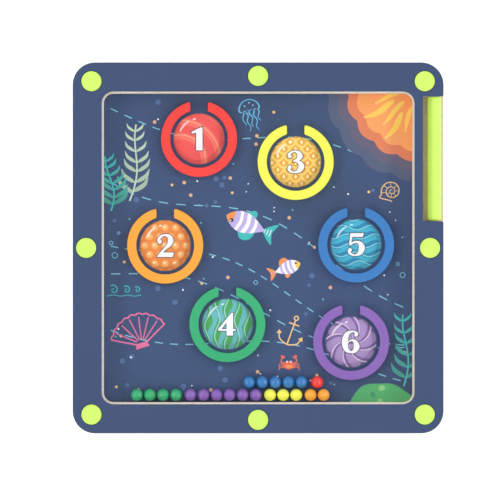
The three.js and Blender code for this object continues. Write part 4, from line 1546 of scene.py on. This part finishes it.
class MazeBoardSettings(bpy.types.PropertyGroup):
    sizes: PointerProperty(type=MazeBoardSizes, name="Sizes", description="Sizes of the fine shapes")
    colours: PointerProperty(type=MazeBoardColours, name="Colours", description="Colours of the finishes")
    stage: PointerProperty(type=MazeBoardStage, name="Stage", description="Camera, light and floor")


# Operators

class MAZEBOARD_OT_wood(bpy.types.Operator):
    """Builds the base board and the wall frame, in bare fibreboard"""
    bl_idname = "maze_board.wood"
    bl_label = "Base and Wall Frame"

    def execute(self, context):
        settings = context.scene.maze_board
        tan = bare_fibreboard("tan_fibreboard", settings.colours.tan_board)
        pale = bare_fibreboard("pale_fibreboard", settings.colours.pale_board)
        base, wall = base_board_surface(settings.sizes), wall_frame_surface(settings.sizes)
        make_piece("base_layer", base, "board", [tan], ["base_board"])
        make_piece("wall_layer", wall, "board", [pale], ["wall_frame"])
        return {"FINISHED"}


class MAZEBOARD_OT_front(bpy.types.Operator):
    """Builds the painted front frame"""
    bl_idname = "maze_board.front"
    bl_label = "Front Frame"

    def execute(self, context):
        settings = context.scene.maze_board
        finishes = [painted("navy_spray", settings.colours.navy_paint),
                    bare_fibreboard("pale_fibreboard", settings.colours.pale_board)]
        surface = front_frame_surface(settings.sizes)
        make_piece("front_layer", surface, "board", finishes, ["front_frame"])
        return {"FINISHED"}


class MAZEBOARD_OT_sheet(bpy.types.Operator):
    """Builds the printed play sheet"""
    bl_idname = "maze_board.sheet"
    bl_label = "Play Sheet"

    def execute(self, context):
        play_sheet_piece(context.scene.maze_board.sizes, print_material())
        return {"FINISHED"}


class MAZEBOARD_OT_cover(bpy.types.Operator):
    """Builds the clear cover"""
    bl_idname = "maze_board.cover"
    bl_label = "Clear Cover"

    def execute(self, context):
        surface = clear_cover_surface()
        make_piece("cover_sheet", surface, "board", [cover_material()], ["clear_cover"])
        return {"FINISHED"}


class MAZEBOARD_OT_rings(bpy.types.Operator):
    """Builds the six open rings"""
    bl_idname = "maze_board.rings"
    bl_label = "Rings"

    def execute(self, context):
        settings = context.scene.maze_board
        for colour in COLOURS:
            slot = f"ring_{colour}"
            paint = painted(f"{colour}_ring_paint", getattr(settings.colours, slot))
            surface = ring_surface(colour, settings.sizes)
            make_piece(f"{colour}_open_ring", surface, "board", [paint], [slot])
        return {"FINISHED"}


class MAZEBOARD_OT_beads(bpy.types.Operator):
    """Builds the beads, each on its own body"""
    bl_idname = "maze_board.beads"
    bl_label = "Beads"

    def execute(self, context):
        settings = context.scene.maze_board
        for name in BEADS:
            slot = name.rsplit("_", 1)[0]
            colour = getattr(settings.colours, slot)
            coat = finish_material(f"{slot}_coat", "Moulded plastic", colour, 0.2, IOR=1.55)
            make_piece(f"{name}_ball", bead_surface(name, settings.sizes), name, [coat], [name])
        return {"FINISHED"}


class MAZEBOARD_OT_caps(bpy.types.Operator):
    """Builds the screw caps"""
    bl_idname = "maze_board.caps"
    bl_label = "Screw Caps"

    def execute(self, context):
        settings = context.scene.maze_board
        lime = lime_moulding(settings.colours)
        for name in CAPS:
            surface = cap_surface(name, settings.sizes)
            make_piece(f"{name}_disc", surface, "board", [lime], [name])
        return {"FINISHED"}


class MAZEBOARD_OT_pen(bpy.types.Operator):
    """Builds the pen's barrel and tip"""
    bl_idname = "maze_board.pen"
    bl_label = "Pen"

    def execute(self, context):
        settings = context.scene.maze_board
        lime = lime_moulding(settings.colours)
        barrel, tip = pen_barrel_surface(settings.sizes), pen_tip_surface(settings.sizes)
        make_piece("pen_body", barrel, "pen", [lime], ["pen_barrel"])
        make_piece("pen_end", tip, "pen", [lime], ["pen_tip"])
        return {"FINISHED"}


class MAZEBOARD_OT_steel(bpy.types.Operator):
    """Gives the screws, the magnet and the steel plug their finish"""
    bl_idname = "maze_board.steel"
    bl_label = "Steel Parts"

    def execute(self, context):
        steel = steel_material()
        for name in (*SCREWS, "pen_magnet", "pen_keeper"):
            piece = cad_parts[name]
            piece.data.materials.clear()
            piece.data.materials.append(steel)
        return {"FINISHED"}


class MAZEBOARD_OT_stage(bpy.types.Operator):
    """Sets up the floor, the lamps, the world and the camera"""
    bl_idname = "maze_board.stage"
    bl_label = "Stage"

    def execute(self, context):
        stage = context.scene.maze_board.stage
        context.scene.view_settings.view_transform = "Standard"
        build_floor(stage)
        build_sky(stage)
        build_lamps(stage)
        build_camera(stage)
        return {"FINISHED"}


OPERATORS = (MAZEBOARD_OT_wood, MAZEBOARD_OT_front, MAZEBOARD_OT_sheet, MAZEBOARD_OT_cover,
             MAZEBOARD_OT_rings, MAZEBOARD_OT_beads, MAZEBOARD_OT_caps, MAZEBOARD_OT_pen,
             MAZEBOARD_OT_steel, MAZEBOARD_OT_stage)


class MAZEBOARD_PT_sidebar(bpy.types.Panel):
    """The board's settings and the buttons that build its pieces"""
    bl_idname = "MAZEBOARD_PT_sidebar"
    bl_label = "Maze Board"
    bl_space_type = "VIEW_3D"
    bl_region_type = "UI"
    bl_category = "Maze Board"

    def draw(self, context):
        settings = context.scene.maze_board
        for group in (settings.sizes, settings.colours, settings.stage):
            box = self.layout.box()
            for name in group.__annotations__:
                box.prop(group, name)
        for operator in OPERATORS:
            self.layout.operator(operator.bl_idname)


CLASSES = (MazeBoardSizes, MazeBoardColours, MazeBoardStage, MazeBoardSettings, *OPERATORS,
           MAZEBOARD_PT_sidebar)


def register():
    for kind in CLASSES:
        bpy.utils.register_class(kind)
    bpy.types.Scene.maze_board = PointerProperty(type=MazeBoardSettings, name="Maze Board",
                                                 description="Settings of the maze board")


def unregister():
    del bpy.types.Scene.maze_board
    for kind in reversed(CLASSES):
        bpy.utils.unregister_class(kind)


def main():
    register()
    for operator in OPERATORS:
        getattr(bpy.ops.maze_board, operator.bl_idname.split(".")[1])()


if __name__ == "__main__":
    main()
